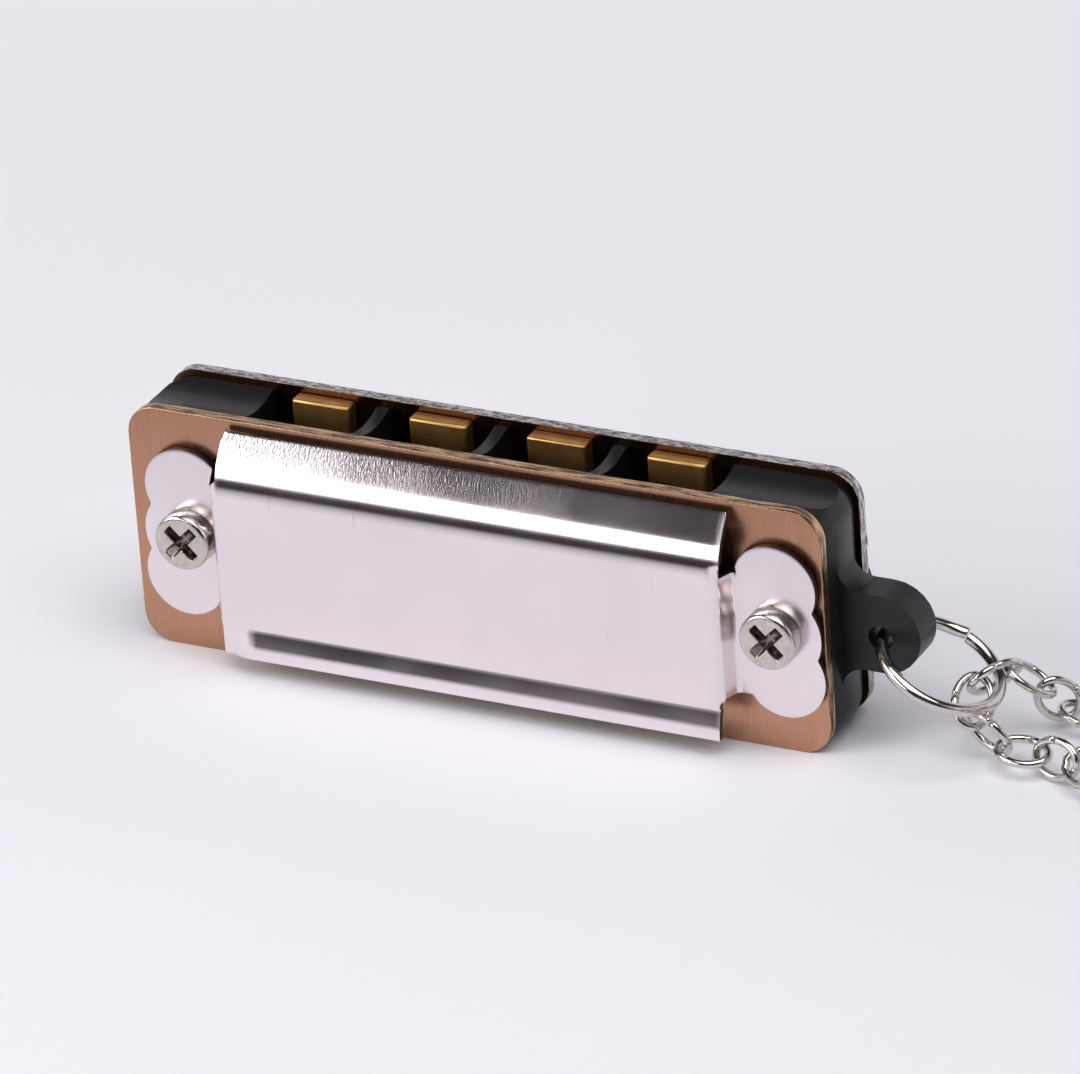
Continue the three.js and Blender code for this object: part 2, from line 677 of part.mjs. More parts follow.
// Body of the harmonica
add('comb', combGeometry(), BLACK_PLASTIC);
add('front_reed_plate', plateGeometry(DRAW, -PLATE_FACE), COPPER_PLATE);
add('back_reed_plate', plateGeometry(BLOW, COMB_THICKNESS / 2), COPPER_PLATE);
add('front_cover', coverGeometry(), BRIGHT_STEEL);
const backCover = add('back_cover', coverGeometry(), BRIGHT_STEEL);
backCover.rotation.z = Math.PI;
backCover.position.x = 2 * COVER_SHIFT;

// Screws and nuts
for (const [side, word] of [[-1, 'left'], [1, 'right']]) {
  add(`screw_${word}`, screwGeometry(), SCREW_STEEL).position.set(screwX(side), 0, PLATE_MIDDLE);
  add(`nut_${word}`, nutGeometry(), SCREW_STEEL).position.set(screwX(side), 0, PLATE_MIDDLE);
}

// Reeds: blow reeds inside on the back plate, draw reeds outside on the front plate
for (const kind of [BLOW, DRAW]) {
  for (let i = 0; i < CHAMBER_COUNT; i++) {
    add(`${kind.name}_reed_heel_${i + 1}`, heelGeometry(kind, i), REED_BRASS);
    add(`${kind.name}_reed_${i + 1}`, tongueGeometry(kind, i), REED_BRASS);
    add(`${kind.name}_rivet_${i + 1}`, rivetGeometry(kind, i), REED_BRASS);
  }
}

// Ring, hung by its wire from the outer side of the lug hole
const ringRadius = RING_MEAN / 2;
const faceBulge = ringRadius - Math.sqrt(ringRadius ** 2 - (COMB_RIB / 2) ** 2);
const ringAxis = new THREE.Vector3(
  LUG_HOLE_X + LUG_HOLE / 2 - RING_WIRE / 2 - RING_HOLE_GAP - faceBulge,
  0,
  LUG_HOLE_Z,
);
const hanger = new THREE.Group();
hanger.position.copy(ringAxis);
hanger.rotation.y = THREE.MathUtils.degToRad(RING_DROOP);
harmonica.add(hanger);
const hoop = new Hoop(ringRadius, RING_JOINT, THREE.MathUtils.degToRad(RING_JOINT_TURN));
const ring = add('hanging_ring', wire(hoop, RING_WIRE, WIRE_SIDES, RING_STEPS), CHAIN_STEEL, hanger);
ring.position.x = ringRadius;

// Links between the bearing points of the chain, counted from the upper strand
const droop = THREE.MathUtils.degToRad(RING_DROOP);
const ringFarSide = ringAxis.clone().add(
  new THREE.Vector3(RING_MEAN * Math.cos(droop), 0, -RING_MEAN * Math.sin(droop)),
);
const joints = CHAIN_JOINTS.map((point) => new THREE.Vector3(...point).add(ringFarSide));
const linkLine = new LinkLine(LINK_LENGTH - LINK_WIRE, LINK_WIDTH - LINK_WIRE, LINK_JOINT);
LINK_ROLLS.forEach((roll, i) => {
  const along = joints[i + 1].clone().sub(joints[i]).normalize();
  const level = new THREE.Vector3(0, 0, 1).cross(along).normalize();
  const rise = along.clone().cross(level);
  const axes = new THREE.Matrix4().makeBasis(along, level, rise);
  const link = add(`chain_link_${i + 1}`, wire(linkLine, LINK_WIRE, LINK_SIDES, LINK_STEPS), CHAIN_STEEL);
  link.quaternion.setFromRotationMatrix(axes);
  link.rotateX(THREE.MathUtils.degToRad(roll));
  link.position.copy(joints[i]).lerp(joints[i + 1], 0.5);
});

// The rest of the chain, from the upper strand's last link round to the lower strand's
function hankEnd(last, before) {
  const out = last.clone().sub(before).setZ(0).normalize();
  const end = last.clone().lerp(before, 0.5).addScaledVector(out, LINK_LENGTH / 2 + CHAIN_END_GAP);
  return end.setZ(HANK_FLOOR);
}
const hankLine = new HankLine(
  hankEnd(joints[0], joints[1]),
  hankEnd(joints[joints.length - 1], joints[joints.length - 2]),
);
const hankTurns = (hankLine.end - hankLine.start) / (2 * Math.PI);
const hankSteps = Math.round(hankTurns * HANK_STEPS_PER_TURN) + 2 * ARC_STEPS;
add('chain_hank', wire(hankLine, CHAIN_WIDTH, HANK_SIDES, hankSteps), CHAIN_STEEL);

// Tie: a flat band round all the runs, at the middle of the hank
const tieReach = CHAIN_WIDTH / 2 + TIE_SLACK;
const tieTop = HANK_FLOOR + (HANK_LAYERS - 1) * HANK_LAYER_STEP + tieReach;
const pastTie = 0.5 + TIE_WIDTH / 2 / HANK_RUN;
const lastTop = hankLine.radius(Math.PI * (2 * HANK_TURNS + HANK_RUN_SHARE * pastTie));
const tieBand = [TIE_THICKNESS, 0].map((grown) => solid(section(
  roundedRectangle(
    HANK_Y - HANK_LAST - tieReach - grown,
    HANK_Y + lastTop + tieReach + grown,
    TIE_THICKNESS - grown,
    tieTop + grown,
    TIE_CORNER + grown,
  ),
  HANK_X - TIE_WIDTH / 2,
  HANK_X + TIE_WIDTH / 2,
)));
add('hank_tie', geometryOf(tieBand[0].subtract(tieBand[1])), TIE_PAPER);

const hankGap = leastGap(hankLine.getSpacedPoints(hankSteps * 3), CHAIN_WIDTH);
const chainLength = hankLine.getLength() + LINK_ROLLS.length * (LINK_LENGTH - 2 * LINK_WIRE);
console.log(`chain_hank least gap to itself ${hankGap.toFixed(2)} mm`);
console.log(`chain length ${chainLength.toFixed(0)} mm, hank turns ${hankTurns.toFixed(2)}`);

export default harmonica;
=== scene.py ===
# %% [markdown]
# # A pendant harmonica, dressed for a close-up
#
# The measured model comes from CAD: a moulded comb, two reed plates, eight reeds, two stamped covers,
# a jump ring and a neck chain. This lesson keeps the frame, the joints and the outer sizes of that model
# and gives its pieces the surfaces a camera sees from a hand's breadth away: broken edges, bent sheet, round
# wire, and the finish of each material.

import json
import math

import bmesh
import bpy
import numpy as np
from mathutils import Matrix, Vector


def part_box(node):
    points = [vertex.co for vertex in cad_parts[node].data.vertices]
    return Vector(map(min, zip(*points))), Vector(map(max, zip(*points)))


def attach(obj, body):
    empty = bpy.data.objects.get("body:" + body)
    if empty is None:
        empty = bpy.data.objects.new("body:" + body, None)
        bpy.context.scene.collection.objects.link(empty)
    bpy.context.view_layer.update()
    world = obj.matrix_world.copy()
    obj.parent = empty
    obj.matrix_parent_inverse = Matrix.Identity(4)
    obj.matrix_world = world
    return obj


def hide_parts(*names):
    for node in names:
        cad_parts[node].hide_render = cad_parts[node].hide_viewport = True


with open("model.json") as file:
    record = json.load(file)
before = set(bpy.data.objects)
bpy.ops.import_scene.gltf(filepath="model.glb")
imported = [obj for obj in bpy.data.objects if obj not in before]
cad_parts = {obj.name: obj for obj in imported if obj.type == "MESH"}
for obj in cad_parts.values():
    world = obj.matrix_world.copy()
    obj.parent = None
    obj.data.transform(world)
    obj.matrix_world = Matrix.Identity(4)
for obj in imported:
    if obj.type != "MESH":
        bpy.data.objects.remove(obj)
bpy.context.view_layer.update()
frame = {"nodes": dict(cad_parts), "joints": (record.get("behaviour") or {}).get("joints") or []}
MM = 0.001
scene = bpy.context.scene
joint_places = {joint["name"]: np.array(joint["pos_m"]) / MM for joint in frame["joints"]}

# %% [markdown]
# ## A few small helpers
#
# Colours are written as the hex values that a colour picker shows, and Blender wants linear light, so one
# function converts them. Every shader is a handful of nodes, and one function adds a node with its
# settings and links.


# %% Colour and node helpers
def linear(hex_colour):
    """sRGB hex to linear RGBA: a straight line for the darkest values, a power of 2.4 for the rest."""
    shown = np.array([int(hex_colour[i:i + 2], 16) for i in (1, 3, 5)]) / 255
    light = np.where(shown <= 0.04045, shown / 12.92, ((shown + 0.055) / 1.055) ** 2.4)
    return (*light.tolist(), 1.0)


def add_node(tree, kind, inputs=None, **settings):
    """Adds one node: settings are its properties, inputs are socket values or links from other nodes."""
    node = tree.nodes.new(kind)
    for name, value in settings.items():
        setattr(node, name, value)
    for socket, value in (inputs or {}).items():
        if isinstance(value, bpy.types.NodeSocket):
            tree.links.new(value, node.inputs[socket])
        else:
            node.inputs[socket].default_value = value
    return node


def new_material(name):
    """An empty node material, its tree and its output node."""
    material = bpy.data.materials.new(name)
    material.use_nodes = True
    tree = material.node_tree
    tree.nodes.clear()
    return material, tree, add_node(tree, "ShaderNodeOutputMaterial")


def per_mm(size):
    """The scale of a noise texture whose blotches are about this many millimetres across."""
    return 1 / (size * MM)


print("mid grey in linear light:", round(linear("#808080")[0], 3))

# %% [markdown]
# A new piece is a numpy array of points in millimetres and a list of faces. Blender's own shapes could be
# moved and scaled into place, but here the points already say where a piece is, so its object sits at the
# origin. There it rides on a body and takes the place of the nodes it stands for.

# %% Piece helpers
WELD_MM = 0.001


def place_piece(name, mesh, material, body, replaced):
    """Links a finished mesh into the scene as a piece of the object."""
    piece = bpy.data.objects.new(name, mesh)
    scene.collection.objects.link(piece)
    mesh.materials.clear()
    mesh.materials.append(material)
    mesh.polygons.foreach_set("use_smooth", np.ones(len(mesh.polygons), bool))
    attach(piece, body)
    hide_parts(*replaced)
    return piece


def new_mesh(name, points_mm, faces, weld_mm=WELD_MM):
    """A mesh from points in millimetres and faces; points nearer than the weld distance become one."""
    mesh = bpy.data.meshes.new(name)
    corners = [[int(i) for i in face] for face in faces]
    mesh.from_pydata((np.asarray(points_mm) * MM).tolist(), [], corners)
    shape = bmesh.new()
    shape.from_mesh(mesh)
    bmesh.ops.delete(shape, geom=[v for v in shape.verts if not v.link_faces], context="VERTS")
    bmesh.ops.remove_doubles(shape, verts=shape.verts, dist=weld_mm * MM)
    bmesh.ops.recalc_face_normals(shape, faces=shape.faces)
    shape.to_mesh(mesh)
    shape.free()
    return mesh


print("points weld within mm:", WELD_MM)

# %% [markdown]
# A piece that only needs its edges broken is a copy of its CAD node. The node is loose triangles, so its copy
# is welded first, its flat facets are joined up, and a narrow bevel rounds what is still sharp. New pieces
# get the same bevel, so it has a function of its own.

# %% Edge helpers
FLAT_DEGREES = 1


def break_edges(piece, width_mm, angle=30):
    """A narrow two-step bevel on edges sharper than the angle, and normals weighted to the large faces."""
    bevel = piece.modifiers.new("broken edges", "BEVEL")
    bevel.width = width_mm * MM
    bevel.segments = 2
    bevel.limit_method = "ANGLE"
    bevel.angle_limit = math.radians(angle)
    piece.modifiers.new("flat faces stay flat", "WEIGHTED_NORMAL").keep_sharp = True


def dressed(node, body, material, edge_mm):
    """A copy of a CAD node as a piece: welded, flat facets joined, edges broken by a narrow bevel."""
    mesh = frame["nodes"][node].data.copy()
    shape = bmesh.new()
    shape.from_mesh(mesh)
    bmesh.ops.remove_doubles(shape, verts=shape.verts, dist=WELD_MM * MM)
    flat = math.radians(FLAT_DEGREES)
    bmesh.ops.dissolve_limit(shape, angle_limit=flat, verts=shape.verts, edges=shape.edges)
    shape.to_mesh(mesh)
    shape.free()
    piece = place_piece(f"{node}_piece", mesh, material, body, [node])
    break_edges(piece, edge_mm)
    return piece


print("facets are flat within degrees:", FLAT_DEGREES)

# %% [markdown]
# Surfaces are grids: rows of points along a shape and columns across it. Their faces could be listed in a
# loop, but the corner numbers of all quads come from two index arrays at once.

# %% Grid helpers
# Stands in for zero where something is divided by it
TINY = 1e-6


def grid_faces(rows, columns, closed=False):
    """Quads between neighbouring points of a grid numbered row by row; closed joins the last column to
    the first."""
    r, c = np.meshgrid(np.arange(rows - 1), np.arange(columns if closed else columns - 1), indexing="ij")
    beside = (c + 1) % columns
    corners = [r * columns + c, r * columns + beside, (r + 1) * columns + beside, (r + 1) * columns + c]
    return np.stack(corners, -1).reshape(-1, 4)


def tube_faces(steps, sides):
    """Faces of a tube of rings: quads all round it and one flat face over each end."""
    last = (steps - 1) * sides
    ends = [list(range(sides))[::-1], list(range(last, last + sides))]
    return grid_faces(steps, sides, closed=True).tolist() + ends


def unit(vectors):
    """Vectors scaled to length one, along the last axis."""
    return vectors / np.linalg.norm(vectors, axis=-1, keepdims=True)


def smooth_step(x, low, high):
    """0 below low, 1 above high, and a smooth S between them."""
    share = np.clip((x - low) / (high - low), 0, 1)
    return share * share * (3 - 2 * share)


print("quads in a grid of 3 by 4 points:", len(grid_faces(3, 4)))

# %% [markdown]
# ## The camera
#
# The photograph was taken from the front right and from above with a long lens, so the long edges hardly
# converge. The view was found by fitting the corners of the reed plates: an azimuth, an elevation, a
# slight roll, a distance and a focal length. The image is 1080 by 1074.

# %% Set the camera
LOOK_AT_MM = np.array([3.78, -2.6, 9.53])
AZIMUTH = math.radians(27.96)
ELEVATION = math.radians(27.11)
ROLL = math.radians(-4.14)
DISTANCE_MM = 457.4
LENS_MM = 311.3

back = np.array([
    math.sin(AZIMUTH) * math.cos(ELEVATION),
    -math.cos(AZIMUTH) * math.cos(ELEVATION),
    math.sin(ELEVATION),
])
right = np.array([math.cos(AZIMUTH), math.sin(AZIMUTH), 0.0])
up = np.cross(back, right)
image_right = math.cos(ROLL) * right + math.sin(ROLL) * up
image_up = -math.sin(ROLL) * right + math.cos(ROLL) * up

camera_data = bpy.data.cameras.new("camera")
camera_data.sensor_width = 36
camera_data.lens = LENS_MM
camera_data.clip_start = 0.02
camera_data.clip_end = 50
camera = bpy.data.objects.new("camera", camera_data)
scene.collection.objects.link(camera)
turn = Matrix(np.stack([image_right, image_up, back], 1).tolist()).to_4x4()
camera.matrix_world = Matrix.Translation((LOOK_AT_MM + DISTANCE_MM * back) * MM) @ turn
scene.camera = camera
scene.view_settings.view_transform = "Standard"
print("camera at", [round(x, 4) for x in camera.location])

# %% [markdown]
# ## Floor and studio light
#
# Polished metal shows its surroundings, so the surroundings are part of the look. The floor is matte white
# paper, and it keeps the object's shadow. Lamps could light all of it evenly, but so much light would bleach
# the object, so beyond their reach the camera sees the floor in the room's own pale colour, and the two meet
# unseen.

# %% Floor
FLOOR_HALF_M = 3.0
FLOOR_FADE_M = (0.03, 0.13)
ROOM_COLOUR, ROOM_LIGHT = "#F1EFF5", 0.95

floor_material, tree, output = new_material("matte paper floor")
where = add_node(tree, "ShaderNodeTexCoord")
mottle = add_node(tree, "ShaderNodeTexNoise", {"Vector": where.outputs["Object"], "Scale": per_mm(40)})
paper = add_node(tree, "ShaderNodeMix", {
    0: mottle.outputs["Fac"], 6: linear("#EFEDF3"), 7: linear("#ECEAF0")}, data_type="RGBA")
shader = add_node(tree, "ShaderNodeBsdfPrincipled", {
    "Base Color": paper.outputs[2], "Roughness": 0.75, "Specular IOR Level": 0.2})
away = add_node(tree, "ShaderNodeVectorMath", {0: where.outputs["Object"]}, operation="LENGTH")
far_off = add_node(tree, "ShaderNodeMapRange", {
    "Value": away.outputs["Value"], "From Min": FLOOR_FADE_M[0], "From Max": FLOOR_FADE_M[1]})
rays = add_node(tree, "ShaderNodeLightPath")
faded = add_node(tree, "ShaderNodeMath", {
    0: far_off.outputs[0], 1: rays.outputs["Is Camera Ray"]}, operation="MULTIPLY")
glow = add_node(tree, "ShaderNodeEmission", {"Color": linear(ROOM_COLOUR), "Strength": ROOM_LIGHT})
floor_seen = add_node(tree, "ShaderNodeMixShader", {
    0: faded.outputs[0], 1: shader.outputs[0], 2: glow.outputs[0]})
tree.links.new(floor_seen.outputs[0], output.inputs[0])


def stage_card(name, low, high, height, material):
    """A flat rectangle of the set between two corners in metres, at a height above the floor."""
    corners = [(x, y, height) for x, y in (low, (high[0], low[1]), high, (low[0], high[1]))]
    mesh = bpy.data.meshes.new(name)
    mesh.from_pydata(corners, [], [[0, 1, 2, 3]])
    mesh.materials.append(material)
    card = bpy.data.objects.new(name, mesh)
    scene.collection.objects.link(card)
    return card


stage_card("floor", (-FLOOR_HALF_M, -FLOOR_HALF_M), (FLOOR_HALF_M, FLOOR_HALF_M), 0.0, floor_material)
print("floor metres across:", 2 * FLOOR_HALF_M)

# %% [markdown]
# The room could be built as walls, but a colour by direction does the same for metal this small: pale behind
# and at the sides, dark overhead and above the horizon in front, where the lamps stand. The dark parts draw
# the dark lines by which the eye reads a bend in polished sheet. The camera itself sees only the pale
# colour, so every view has a pale background.

# %% Room
DARK_ROOM = "#353337"
# Stretches of a direction's own coordinates over which the room turns dark
TO_FRONT, OVER_HORIZON, TO_CEILING = (-0.1, -0.45), (-0.05, 0.0), (0.5, 0.7)

world = bpy.data.worlds.new("room")
scene.world = world
world.use_nodes = True
tree = world.node_tree
tree.nodes.clear()
where = add_node(tree, "ShaderNodeTexCoord")
axes = add_node(tree, "ShaderNodeSeparateXYZ", {0: where.outputs["Generated"]})
front = add_node(tree, "ShaderNodeMapRange", {
    "Value": axes.outputs["Y"], "From Min": TO_FRONT[0], "From Max": TO_FRONT[1]})
height = add_node(tree, "ShaderNodeMapRange", {
    "Value": axes.outputs["Z"], "From Min": OVER_HORIZON[0], "From Max": OVER_HORIZON[1]})
front_shade = add_node(tree, "ShaderNodeMath", {
    0: front.outputs[0], 1: height.outputs[0]}, operation="MULTIPLY")
ceiling = add_node(tree, "ShaderNodeMapRange", {
    "Value": axes.outputs["Z"], "From Min": TO_CEILING[0], "From Max": TO_CEILING[1]})
shade = add_node(tree, "ShaderNodeMath", {
    0: front_shade.outputs[0], 1: ceiling.outputs[0]}, operation="MAXIMUM")
room = add_node(tree, "ShaderNodeMix", {
    0: shade.outputs[0], 6: linear(ROOM_COLOUR), 7: linear(DARK_ROOM)}, data_type="RGBA")
rays = add_node(tree, "ShaderNodeLightPath")
seen = add_node(tree, "ShaderNodeMix", {
    0: rays.outputs["Is Camera Ray"], 6: room.outputs[2], 7: linear(ROOM_COLOUR)}, data_type="RGBA")
sky = add_node(tree, "ShaderNodeBackground", {"Color": seen.outputs[2], "Strength": ROOM_LIGHT})
add_node(tree, "ShaderNodeOutputWorld", {"Surface": sky.outputs[0]})
print("room nodes:", len(tree.nodes))

# %% [markdown]
# Three softboxes stand in the dark of the room. A low one at the front left whitens the fold of the cover.
# The key light beside it leans over: it whitens the left end of the slanted flange and throws a soft shadow
# to the back right. One overhead at the front right lights the floor and whatever faces up.

# %% Lamps
AIM_HEIGHT_M = 0.006


def softbox(name, azimuth, elevation, lean, distance, width, height, radiance):
    """A rectangular lamp that faces the object from a direction and leans to one side, angles in degrees;
    its power is radiance x area x pi."""
    lamp = bpy.data.lights.new(name, "AREA")
    lamp.shape = "RECTANGLE"
    lamp.size, lamp.size_y = width, height
    lamp.energy = radiance * width * height * math.pi
    a, e = math.radians(azimuth), math.radians(elevation)
    direction = Vector((math.sin(a) * math.cos(e), -math.cos(a) * math.cos(e), math.sin(e)))
    facing = direction.to_track_quat("Z", "Y").to_matrix().to_4x4()
    holder = bpy.data.objects.new(name, lamp)
    scene.collection.objects.link(holder)
    place = Matrix.Translation(Vector((0, 0, AIM_HEIGHT_M)) + direction * distance)
    holder.matrix_world = place @ facing @ Matrix.Rotation(math.radians(lean), 4, "Z")
    print(name, "watts:", round(lamp.energy, 3))


softbox("low_softbox", azimuth=-26, elevation=15.5, lean=0, distance=0.42,
        width=0.20, height=0.16, radiance=2.2)
softbox("key_softbox", azimuth=-48.9, elevation=25, lean=36, distance=0.55,
        width=0.30, height=0.30, radiance=5.5)
softbox("top_softbox", azimuth=40, elevation=70, lean=0, distance=0.50,
        width=0.50, height=0.42, radiance=2.9)

# %% [markdown]
# In front of the object lies a dark card that only reflections show. It gives the lip and the foot of the
# cover their dark lines, as a black card beside a product does in a studio. It is pale at its near edge and
# turns dark further out, so that no hard edge shows in the metal.

# %% Dark card
CARD_LOW_M, CARD_HIGH_M, CARD_HEIGHT_M = (-2.2, -2.9), (0.05, -0.021), 0.0005
CARD_DARK_FROM_M = -0.055

card_material, tree, output = new_material("dark card")
where = add_node(tree, "ShaderNodeTexCoord")
axes = add_node(tree, "ShaderNodeSeparateXYZ", {0: where.outputs["Object"]})
fade = add_node(tree, "ShaderNodeMapRange", {
    "Value": axes.outputs["Y"], "From Min": CARD_HIGH_M[1], "From Max": CARD_DARK_FROM_M})
tone = add_node(tree, "ShaderNodeMix", {
    0: fade.outputs[0], 6: linear("#ECEAF0"), 7: linear("#2A282B")}, data_type="RGBA")
shader = add_node(tree, "ShaderNodeBsdfPrincipled", {
    "Base Color": tone.outputs[2], "Roughness": 0.9, "Specular IOR Level": 0.0})
tree.links.new(shader.outputs[0], output.inputs[0])
dark_card = stage_card("dark_card", CARD_LOW_M, CARD_HIGH_M, CARD_HEIGHT_M, card_material)
dark_card.visible_camera = False
dark_card.visible_diffuse = False
dark_card.visible_shadow = False
dark_card.visible_transmission = False
print("dark card from", CARD_LOW_M, "to", CARD_HIGH_M)

# %% [markdown]
# ## The neck chain
#
# The chain is a closed loop of oval wire links threaded through the ring: one strand goes over the ring's
# far side and one goes under it. The links that show are set one by one, each between two bearing points
# and rolled about its own length. One link is a round wire carried along an oval, with the seam where the
# wire was closed, and all links go into one mesh.

# %% Links
LINK_LENGTH, LINK_WIDTH, LINK_WIRE, LINK_SEAM = 3.1, 2.3, 0.42, 0.08
RING_MEAN, RING_DROOP = 6.24, math.radians(27.8)
ring_hang = joint_places["ring_swing"]
ring_out = np.array([math.cos(RING_DROOP), 0, -math.sin(RING_DROOP)])
ring_far = ring_hang + RING_MEAN * ring_out
# Bearing points of neighbouring links from the ring's far side, upper strand first, and each link's roll
chain_joints = ring_far + np.array([
    [3.95, 4.1, -2.65], [2.15, 4, -2.15], [1.45, 3.1, -0.65], [-0.05, 2.4, 0.55], [-1.35, 0.9, 0.15],
    [-1.15, -0.4, -0.95], [0.75, -0.7, -2.05], [2.75, -0.9, -2.15], [4.65, -1.5, -1.75],
])
link_rolls = np.radians([0, 75, 175, 60, 150, 110, 10, 80])


def wire_links(starts, ends, rolls, steps, sides):
    """Points and faces of oval links. A link's centreline is middle + a cos(t) x + b sin(t) y, where x
    runs from start to end, y is level before the roll, and a, b are half the oval's length and width.
    The wire's skin is the centreline + r (cos(v) n + sin(v) z), with n square to the centreline."""
    x = unit(ends - starts)
    level = unit(np.cross([0, 0, 1.0], x))
    rise = np.cross(x, level)
    cos_roll, sin_roll = np.cos(rolls)[:, None], np.sin(rolls)[:, None]
    y, z = level * cos_roll + rise * sin_roll, rise * cos_roll - level * sin_roll
    half_long, half_wide = (LINK_LENGTH - LINK_WIRE) / 2, (LINK_WIDTH - LINK_WIRE) / 2
    seam = LINK_SEAM / half_long
    t = np.linspace(np.pi / 2 + seam / 2, 2.5 * np.pi - seam / 2, steps)
    v = np.linspace(0, 2 * np.pi, sides, endpoint=False)
    normal = unit(np.stack([half_wide * np.cos(t), half_long * np.sin(t)], -1))
    oval = np.stack([half_long * np.cos(t), half_wide * np.sin(t)], -1)
    flat = oval[:, None] + LINK_WIRE / 2 * np.cos(v)[None, :, None] * normal[:, None]
    lift = np.broadcast_to(LINK_WIRE / 2 * np.sin(v), (steps, sides))
    local = np.concatenate([flat, lift[..., None]], -1).reshape(-1, 3)
    axes = np.stack([x, y, z], 1)
    points = ((starts + ends) / 2)[:, None] + local @ axes
    one_link = tube_faces(steps, sides)
    firsts = steps * sides * np.arange(len(starts))
    faces = [[corner + first for corner in face] for first in firsts.tolist() for face in one_link]
    return points.reshape(-1, 3), faces


near_points, near_faces = wire_links(chain_joints[:-1], chain_joints[1:], link_rolls, steps=49, sides=14)
print("links that show:", len(link_rolls))

# %% [markdown]
# The rest of the loop is put away beside the object as a tied hank, on the route of the CAD solid: oval
# turns in four layers that go in and out by turns, and a last run that comes down beside them. A simulation
# could drop the chain in a heap, but a hank is how a chain is put away, and its turns come from a formula:
# each half turn is a straight run and then a bend.

# %% Winding of the hank
# The hank's middle, its straight runs, its outermost bend, and the steps from turn to turn and layer to layer
HANK_X, HANK_Y, HANK_RUN, HANK_OUTER = 54.5, 2.6, 20.0, 7.5
HANK_TURNS, HANK_LAYERS = 5, 4
HANK_TURN_STEP, HANK_LAYER_STEP, HANK_FLOOR = 3.1, 2.65, 1.5
# The share of a half turn that is straight, and the angles over which the winding reverses and climbs
HANK_RUN_SHARE, HANK_REVERSAL, HANK_CLIMB = 0.55, 0.6, 1.6


def hank_line(turned):
    """Points of the winding by the angle turned. The bend radius falls and rises layer by layer as a
    triangle wave with rounded corners and steps out once at the end; the height goes up one layer at each
    reversal and down to the floor on the last run."""
    layer_sweep = 2 * math.pi * HANK_TURNS / HANK_LAYERS
    wound = HANK_LAYERS * layer_sweep
    rounding = HANK_REVERSAL / layer_sweep
    layer = np.clip(turned, 0, wound) / layer_sweep
    wave = np.arccos(math.cos(math.pi * rounding) * np.cos(math.pi * layer)) / math.pi - rounding
    outward = smooth_step(turned, wound, wound + math.pi)
    radius = HANK_OUTER + HANK_TURN_STEP * (outward - wave * HANK_TURNS / HANK_LAYERS)
    middles = layer_sweep * np.arange(1, HANK_LAYERS)[:, None]
    climbs = smooth_step(turned, middles - HANK_CLIMB, middles + HANK_CLIMB).sum(0)
    down = smooth_step(turned, wound + math.pi, wound + math.pi * (1 + HANK_RUN_SHARE))
    half = np.floor(turned / math.pi)
    part = turned / math.pi - half
    run = np.minimum(part / HANK_RUN_SHARE, 1) - 0.5
    bend = np.maximum(part - HANK_RUN_SHARE, 0) / (1 - HANK_RUN_SHARE)
    angle = math.pi * (0.5 - half - bend)
    return np.stack([
        HANK_X + np.where(half % 2 == 0, HANK_RUN, -HANK_RUN) * run + radius * np.cos(angle),
        HANK_Y + radius * np.sin(angle),
        HANK_FLOOR + HANK_LAYER_STEP * (climbs - (HANK_LAYERS - 1) * down),
    ], -1)


print("hank starts at", hank_line(np.array([0.0])).round(2))

# %% [markdown]
# Two straight leads join the hank to the links that show. Each touches a bend of the hank without a kink, and
# the winding begins and ends where they touch. The links sit at equal steps along the whole route, every
# second one a quarter turn round. They are many and small, so their wire has only a few sides.

# %% Links of the hank
CHAIN_END_GAP, LINK_PITCH = 0.6, 1.95
WINDING_POINTS = 4000


def hank_end(last, before):
    """Where the hank's lead starts: past the end of the last link that shows, at the hank's height."""
    out = unit((last - before) * [1, 1, 0])
    end = (last + before) / 2 + out * (LINK_LENGTH / 2 + CHAIN_END_GAP)
    return np.array([end[0], end[1], HANK_FLOOR])


def touch_angle(point, radius, hand):
    """The angle at which a straight lead from a point touches a bend at the hank's near end."""
    dx, dy = point[0] - HANK_X + HANK_RUN / 2, point[1] - HANK_Y
    return math.atan2(dy, dx) + hand * math.acos(radius / math.hypot(dx, dy))


def even_steps(points, step):
    """Points at equal distances along a polyline, as near to the step as its length allows."""
    along = np.concatenate([[0], np.cumsum(np.linalg.norm(np.diff(points, axis=0), axis=1))])
    places = np.linspace(0, along[-1], round(along[-1] / step) + 1)
    return np.stack([np.interp(places, along, points[:, i]) for i in range(3)], -1)


hank_from = hank_end(chain_joints[0], chain_joints[1])
hank_to = hank_end(chain_joints[-1], chain_joints[-2])
enter = touch_angle(hank_from, HANK_OUTER, -1) / math.pi
leave = touch_angle(hank_to, HANK_OUTER + HANK_TURN_STEP, 1) / math.pi
bend_share = 1 - HANK_RUN_SHARE
first_turned = math.pi * (HANK_RUN_SHARE - 1 + bend_share * (1.5 - enter))
last_turned = math.pi * (2 * HANK_TURNS + 1 + HANK_RUN_SHARE - bend_share * (0.5 + leave))
winding = hank_line(np.linspace(first_turned, last_turned, WINDING_POINTS))
whole_lead = np.vstack([chain_joints[0], hank_from, winding, hank_to, chain_joints[-1]])
unseen = even_steps(whole_lead, LINK_PITCH)
far_rolls = np.radians(np.where(np.arange(len(unseen) - 1) % 2, 45, 135))
far_points, far_faces = wire_links(unseen[:-1], unseen[1:], far_rolls, steps=13, sides=5)
print("links in the hank:", len(unseen) - 1)

# %% [markdown]
# ## Bright plated wire
#
# Ring and chain are drawn steel wire, bent to shape and then plated with nickel. Plating over drawn wire
# is smooth and a little warm with faint pits, so the roughness is low and changes over fractions of a
# millimetre: the eye gets crisp white and dark lines that are slightly frayed. A painted image could hold
# the pits, but noise on the object's own coordinates has no seams.

